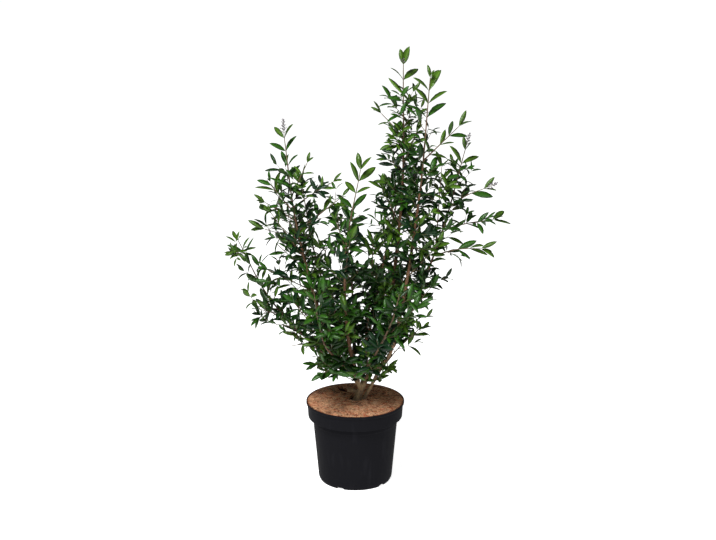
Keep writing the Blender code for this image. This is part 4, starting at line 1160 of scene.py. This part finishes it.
def bough_piece(limbs, finishes):
    """Trunk and boughs as one skin with the bark's relief: fissures, ripples and a sawn stub."""
    tubes = Tubes()
    marks = [share for share, _ in TRUNK_GIRTHS]
    lean = [TRUNK_FOOT.lerp(TRUNK_TOP, max(0.0, share - marks[1])) for share in marks]
    for point, share in zip(lean, marks):
        point.z = TRUNK_FOOT.z + (TRUNK_TOP.z - TRUNK_FOOT.z) * share
    tubes.add(lean, [girth * MM for _, girth in TRUNK_GIRTHS], [1.0] * len(lean), 20)
    for name, limb in LIMBS.items():
        stem = limbs[name]
        marks = stem.part(0.0, stem.length * limb.bare + 4 * MM, 6 * MM)
        tubes.add(
            [stem.at(mark)[0] for mark in marks], [stem.radius(mark) * BOUGH_GIRTH for mark in marks],
            [1.0] * len(marks), 14,
        )
    tubes.add([STUB_FOOT, STUB_FOOT + STUB_REACH], STUB_RADII, (1.0, 1.0), 12)
    obj = new_object("boughs", tubes.mesh("boughs"))
    skin = obj.modifiers.new("skin", "REMESH")
    skin.mode = "VOXEL"
    skin.voxel_size = BARK_GRAIN
    smooth = obj.modifiers.new("ease", "SMOOTH")
    smooth.factor = 0.6
    smooth.iterations = 3
    applied(obj)
    mesh = obj.data
    count = len(mesh.vertices)
    places = np.empty(count * 3)
    normals = np.empty(count * 3)
    mesh.vertices.foreach_get("co", places)
    mesh.vertex_normals.foreach_get("vector", normals)
    places, normals = places.reshape(-1, 3), normals.reshape(-1, 3)
    ages, moved = [], []
    for place, normal in zip(places, normals):
        at = Vector(place)
        height = at.z - GROUND
        ridge = noise.noise(Vector((at.x * 260, at.y * 260, at.z * 55)))
        ripple = noise.noise(Vector((at.x * 90, at.y * 90, at.z * 130 + 7.0)))
        grain = noise.noise(at * 520)
        foot = max(0.0, 1.0 - height / ROUGH_FOOT)
        depth = (0.9 * abs(ridge) * (0.4 + foot) + 0.45 * ripple + 0.25 * grain) * MM
        moved.append(np.array(place) + np.array(normal) * depth)
        stub = at.x < STUB_FACE and height < STUB_TOP
        ages.append(STUB_AGE if stub else min(1.0, 0.62 + 0.4 * foot + 0.15 * ripple))
    mesh.vertices.foreach_set("co", np.array(moved).reshape(-1))
    if "age" in mesh.attributes:
        mesh.attributes.remove(mesh.attributes["age"])
    mesh.attributes.new("age", "FLOAT", "POINT").data.foreach_set("value", ages)
    mesh.materials.clear()
    mesh.materials.append(finishes["bark"])
    mesh.shade_smooth()
    piece(obj, "bark", "trunk", *(f"bough_{name}" for name in LIMBS))


def bud_piece(crown, finishes):
    """Unopened buds about 2.5 mm wide, set on the panicles' twigs by Geometry Nodes."""
    tree, given = new_tree("buds", Size="NodeSocketFloat", Seed="NodeSocketInt", Skin="NodeSocketMaterial")
    points = node(tree, "GeometryNodeMeshToPoints", {"Mesh": given["Geometry"]})
    ball = node(tree, "GeometryNodeMeshIcoSphere", {"Radius": given["Size"], "Subdivisions": 1})
    shape = node(tree, "GeometryNodeTransform", {"Geometry": ball, "Scale": (0.8, 0.8, 1.25)})
    scattered(tree, given, points, shape, BUD_TURNS, BUD_SIZES, "Skin")
    obj = new_object("flower_buds", mesh_from("flower_buds", crown.buds, [], smooth=False))
    repeated(obj, tree, {"Size": BUD_RADIUS, "Seed": 5, "Skin": finishes["bud"]})
    obj.data.shade_smooth()
    piece(obj, "bark")


# Pot, compost and coir disc


def lathe(name, profile, steps):
    """A closed profile of radius and height, listed anticlockwise, turned about the Z axis."""
    verts, faces = [], []
    rings = []
    for radius, height in profile:
        if radius < 1e-6:
            rings.append([len(verts)] * steps)
            verts.append((0.0, 0.0, height))
            continue
        rings.append(list(range(len(verts), len(verts) + steps)))
        for k in range(steps):
            turn = math.tau * k / steps
            verts.append((radius * math.cos(turn), radius * math.sin(turn), height))
    for low, high in zip(rings, rings[1:]):
        for k in range(steps):
            a, b = k, (k + 1) % steps
            corners = [low[a], low[b], high[b], high[a]]
            kept = [c for i, c in enumerate(corners) if c != corners[i - 1]]
            if len(kept) > 2:
                faces.append(kept)
    return new_object(name, mesh_from(name, verts, faces))


def rounded(profile, radius):
    """The profile with each inner corner replaced by a short arc."""
    made = [profile[0]]
    for before, corner, after in zip(profile, profile[1:], profile[2:]):
        at, back, on = Vector(corner), Vector(before) - Vector(corner), Vector(after) - Vector(corner)
        reach = min(radius, back.length * 0.45, on.length * 0.45)
        start, end = at + back.normalized() * reach, at + on.normalized() * reach
        for share in (0.0, 0.33, 0.67, 1.0):
            made.append(tuple(start.lerp(at, share).lerp(at.lerp(end, share), share)))
    return [*made, profile[-1]]


def pot_piece(finishes):
    """The pot: body, collar and rolled lip in one wall, with drain slots in its lower edge."""
    collar = POT_HEIGHT - COLLAR_HEIGHT
    lip = POT_HEIGHT - LIP_HEIGHT
    outer = [
        (0.0, BASE_RECESS),
        (BASE_RADIUS - BASE_RING[0], BASE_RECESS),
        (BASE_RADIUS - BASE_RING[1], 0.0),
        (BASE_RADIUS, 0.0),
        (BODY_RADIUS_LOW, BASE_CHAMFER),
        *((BODY_RADIUS_HIGH - inset, collar - below) for inset, below in BODY_BEAD),
        (COLLAR_RADIUS_LOW, collar + SLOPE),
        (COLLAR_RADIUS_HIGH, lip - SLOPE),
        (POT_RADIUS, lip),
        (POT_RADIUS, POT_HEIGHT),
    ]
    inner = [
        (POT_RADIUS - POT_WALL, POT_HEIGHT),
        (POT_RADIUS - POT_WALL, lip + POT_WALL * 0.6),
        (COLLAR_RADIUS_HIGH - POT_WALL, lip - SLOPE),
        (COLLAR_RADIUS_LOW - POT_WALL, collar + SLOPE + POT_WALL),
        (BODY_RADIUS_HIGH - POT_WALL, collar + POT_WALL),
        (BODY_RADIUS_LOW - POT_WALL, BASE_CHAMFER),
        (BASE_RADIUS - POT_WALL, POT_WALL + BASE_RECESS),
        (0.0, POT_WALL + BASE_RECESS),
    ]
    profile = rounded([*outer, *inner], POT_ROUNDING)
    pot = recalculated(lathe("pot_shell", profile, POT_STEPS))
    cutters = bpy.data.collections.new("drain_cutters")
    bpy.context.scene.collection.children.link(cutters)
    for i in range(DRAIN_SLOTS):
        bearing = DRAIN_BEARING + i * math.tau / DRAIN_SLOTS
        shape = bmesh.new()
        bmesh.ops.create_cone(
            shape, cap_ends=True, segments=24, radius1=DRAIN_WIDTH / 2, radius2=DRAIN_WIDTH / 2,
            depth=DRAIN_CUT,
        )
        size = Matrix.Diagonal((2 * DRAIN_HEIGHT / DRAIN_WIDTH * 0.8, 1.0, 1.0, 1.0))
        place = Matrix.Translation((BASE_RADIUS + 4 * MM, 0.0, 0.0))
        lying = Matrix.Rotation(QUARTER_TURN, 4, "Y")
        shape.transform(Matrix.Rotation(bearing, 4, "Z") @ place @ lying @ size)
        mesh = bpy.data.meshes.new("drain")
        shape.to_mesh(mesh)
        shape.free()
        cutters.objects.link(bpy.data.objects.new(f"drain_{i}", mesh))
    cut = pot.modifiers.new("drains", "BOOLEAN")
    cut.operation = "DIFFERENCE"
    cut.operand_type = "COLLECTION"
    cut.collection = cutters
    cut.solver = "EXACT"
    applied(pot)
    for cutter in list(cutters.objects):
        bpy.data.objects.remove(cutter)
    bpy.data.collections.remove(cutters)
    pot.data.materials.clear()
    pot.data.materials.append(finishes["pot"])
    pot.data.shade_smooth()
    pot.data.set_sharp_from_angle(angle=SHARP_EDGE)
    piece(pot, "pot", "pot")


def mat_piece(finishes):
    """The coir disc: a low ragged dome with a lumpy face, open round the trunk and along its slit."""
    rings, spokes = MAT_RINGS, MAT_SPOKES
    centre = Vector((TRUNK_FOOT.x, TRUNK_FOOT.y, 0.0))
    top, low, painted_shade_and_patch_shares = [], [], []
    for i in range(rings + 1):
        share = i / rings
        gape = math.exp(-(((share - MAT_GAPE_AT) / MAT_GAPE_REACH) ** 2))
        slit = MAT_SLIT_WIDTH + MAT_SLIT_GAPE * gape
        open_angle = slit / (MAT_HOLE_RADIUS + (MAT_RADIUS - MAT_HOLE_RADIUS) * share)
        for k in range(spokes):
            turn = MAT_SLIT_BEARING + open_angle / 2 + (math.tau - open_angle) * k / (spokes - 1)
            out = Vector((math.cos(turn), math.sin(turn), 0.0))
            ragged = noise.noise(out * 9) + 0.5 * noise.noise(out * 30)
            rim = MAT_RADIUS + MAT_RAGGED * ragged
            hole = MAT_HOLE_RADIUS + 1.5 * MM * noise.noise(out * 4 + UP * 8.0)
            reach = out.dot(-centre) + math.sqrt(rim**2 - centre.length_squared + out.dot(centre) ** 2)
            point = centre + out * (hole + (reach - hole) * share)
            distance = math.hypot(point.x, point.y)
            dome = MAT_THICKNESS + MAT_CROWN * (1.0 - (distance / MAT_RADIUS) ** 2)
            broad = noise.noise(point * 45)
            clump = noise.noise(point * 120 + UP * 3.0)
            lump = (1.1 * broad + 0.8 * clump + 0.5 * noise.noise(point * 230)) * MM
            edge = min(1.0, 26 * min(share, 1.0 - share) + 0.55)
            top.append((point.x, point.y, MAT_FOOT + (dome + lump) * edge))
            low.append((point.x, point.y, MAT_FOOT))
            # Painted shade: the lower the lumps, the darker the disc. The patches add to it, and the outer
            # edge and the underside are painted dark as a shadow.
            sunk_shade = max(0.0, -0.9 * broad - 0.8 * clump - 0.12) * 1.6
            for x, y, span, depth in MAT_DARK_PATCHES:
                sunk_shade += depth * math.exp(-((point.x - x) ** 2 + (point.y - y) ** 2) / (span * MM) ** 2)
            painted_shade_and_patch_shares.append(min(1.0, max(sunk_shade, (share - 0.965) * 34)))
    painted_shade_and_patch_shares += [1.0] * len(low)
    verts = top + low
    base = len(top)
    faces = []
    for i in range(rings):
        for k in range(spokes - 1):
            a, b = i * spokes + k, i * spokes + k + 1
            faces.append((a, a + spokes, b + spokes, b))
            faces.append((base + a, base + b, base + b + spokes, base + a + spokes))
    slit_walls = [(i * spokes + k, spokes, k > 0) for i in range(rings) for k in (0, spokes - 1)]
    rims = [(i * spokes + k, 1, i == 0) for k in range(spokes - 1) for i in (0, rings)]
    for a, step, flip in slit_walls + rims:
        corners = (a, base + a, base + a + step, a + step)
        faces.append(corners[::-1] if flip else corners)
    obj = new_object("coir_disc", mesh_from("coir_disc", verts, faces))
    obj.data.attributes.new("painted_shade_and_patches", "FLOAT", "POINT").data.foreach_set("value", painted_shade_and_patch_shares)
    recalculated(obj)
    obj.data.materials.append(finishes["coir"])
    obj.data.shade_smooth()
    return piece(obj, "coir", "coir_mat")


def fibre_tree():
    """Scatters curved fibres over a surface and makes each one a three-sided thread."""
    tree, given = new_tree(
        "coir_fibres", Density="NodeSocketFloat", Length="NodeSocketFloat", Radius="NodeSocketFloat",
        Seed="NodeSocketInt", Fibre="NodeSocketMaterial",
    )
    points = node(
        tree, "GeometryNodeDistributePointsOnFaces",
        {"Mesh": given["Geometry"], "Density": given["Density"], "Seed": given["Seed"]},
    )
    start, middle, end = FIBRE_CURVE
    bend = node(
        tree, "GeometryNodeCurveQuadraticBezier",
        {"Resolution": 4, "Start": start, "Middle": middle, "End": end},
    )
    long = node(tree, "ShaderNodeCombineXYZ", {axis: given["Length"] for axis in "XYZ"})
    sized = node(tree, "GeometryNodeTransform", {"Geometry": bend, "Scale": long})
    thread = node(tree, "GeometryNodeCurvePrimitiveCircle", {"Resolution": 3, "Radius": given["Radius"]})
    fibre = node(
        tree, "GeometryNodeCurveToMesh", {"Curve": sized, "Profile Curve": thread, "Fill Caps": True}
    )
    scattered(tree, given, points, fibre, FIBRE_TURNS, FIBRE_SIZES, "Fibre")
    return tree


def fibre_pieces(mat, finishes):
    """Loose fibres of three tones on the disc's open face."""
    tree = fibre_tree()
    upper = bmesh.new()
    upper.from_mesh(mat.data)
    bare = [
        face for face in upper.faces
        if face.normal.z < 0.5 or face.calc_center_median().xy.length > MAT_RADIUS - FIBRE_MARGIN
    ]
    bmesh.ops.delete(upper, geom=bare, context="FACES")
    sizes = {"Length": FIBRE_LENGTH, "Radius": FIBRE_RADIUS}
    for i, (tone, density) in enumerate(FIBRE_DENSITIES.items()):
        mesh = bpy.data.meshes.new(f"coir_{tone}")
        upper.to_mesh(mesh)
        obj = new_object(f"coir_fibres_{tone}", mesh)
        fibre = finishes[f"fibre_{tone}"]
        repeated(obj, tree, {"Density": density, **sizes, "Seed": 11 + i, "Fibre": fibre})
        recalculated(obj)
        obj.data.shade_smooth()
        piece(obj, "coir")
    upper.free()


# Studio


ROOM_LIGHT = 0.18  # brightness of the white room round the plant
LENS = 75.7
SENSOR_WIDTH = 36.0
CAMERA_TILT = math.radians(90.0 - 15.82)
LAMP_AIM = Vector((0.0, 0.0, 0.65))
# Square lamps: where each stands, its width in metres and its power in watts.
LAMPS = {"key": ((-0.9, -2.0, 3.6), 1.3, 196.0), "fill": ((2.2, -2.2, 1.8), 1.8, 10.0)}
FLOOR_CORNERS = [(-20, -20, 0), (20, -20, 0), (20, 20, 0), (-20, 20, 0)]


def studio(finishes):
    """White paper, a white room, two lamps and the camera."""
    floor = new_object("floor", mesh_from("floor", FLOOR_CORNERS, [(0, 1, 2, 3)]))
    floor.data.materials.append(finishes["paper"])
    world = bpy.data.worlds.new("studio")
    bpy.context.scene.world = world
    world.use_nodes = True
    tree = world.node_tree
    sky = tree.nodes["Background"]
    seen = node(tree, "ShaderNodeLightPath").outputs["Is Camera Ray"]
    strength = node(tree, "ShaderNodeMapRange", (seen, 0.0, 1.0, ROOM_LIGHT, 1.0))
    link(tree, strength, sky.inputs["Strength"])
    sky.inputs["Color"].default_value = (1.0, 1.0, 1.0, 1.0)
    for name, (place, size, power) in LAMPS.items():
        lamp = bpy.data.lights.new(name, "AREA")
        lamp.size = size
        lamp.energy = power
        obj = new_object(name, lamp)
        obj.location = place
        obj.rotation_euler = (LAMP_AIM - obj.location).to_track_quat("-Z", "Y").to_euler()
    camera = bpy.data.cameras.new("camera")
    camera.sensor_width = SENSOR_WIDTH
    camera.lens = LENS
    obj = new_object("camera", camera)
    obj.location = EYE
    obj.rotation_euler = (CAMERA_TILT, 0.0, 0.0)
    scene = bpy.context.scene
    scene.camera = obj
    scene.view_settings.view_transform = "Standard"
    scene.view_settings.look = "None"


def main():
    """Makes the finishes, the studio and every piece."""
    finishes = {
        "bark": stem_bark(),
        "bud": bud_skin(),
        "pot": moulded_pot(),
        "peat": peat(),
        "coir": pressed_coir(),
        "fibre_straw": coir_fibre("coir_fibre_straw", "#d0aa82", "#f6dab8"),
        "fibre_rust": coir_fibre("coir_fibre_rust", "#b07852", "#e6aa82"),
        "fibre_dark": coir_fibre("coir_fibre_dark", "#3a2015", "#6e452c"),
        "leaf_under": leaf_under(),
        "paper": paper(),
    }
    for tone, (code, _) in LEAF_TONES.items():
        finishes[f"leaf_{tone}"] = leaf_upper(tone, code)
    studio(finishes)
    pot_piece(finishes)
    compost = frame["nodes"]["root_ball"].data.materials
    compost.clear()
    compost.append(finishes["peat"])
    mat = mat_piece(finishes)
    fibre_pieces(mat, finishes)
    limbs = grow_limbs()
    crown = Crown()
    stems = crown.grow(limbs)
    bough_piece(limbs, finishes)
    stem_piece(stems, finishes)
    twig_pieces(crown, finishes)
    leaf_pieces(crown, finishes)
    bud_piece(crown, finishes)


main()
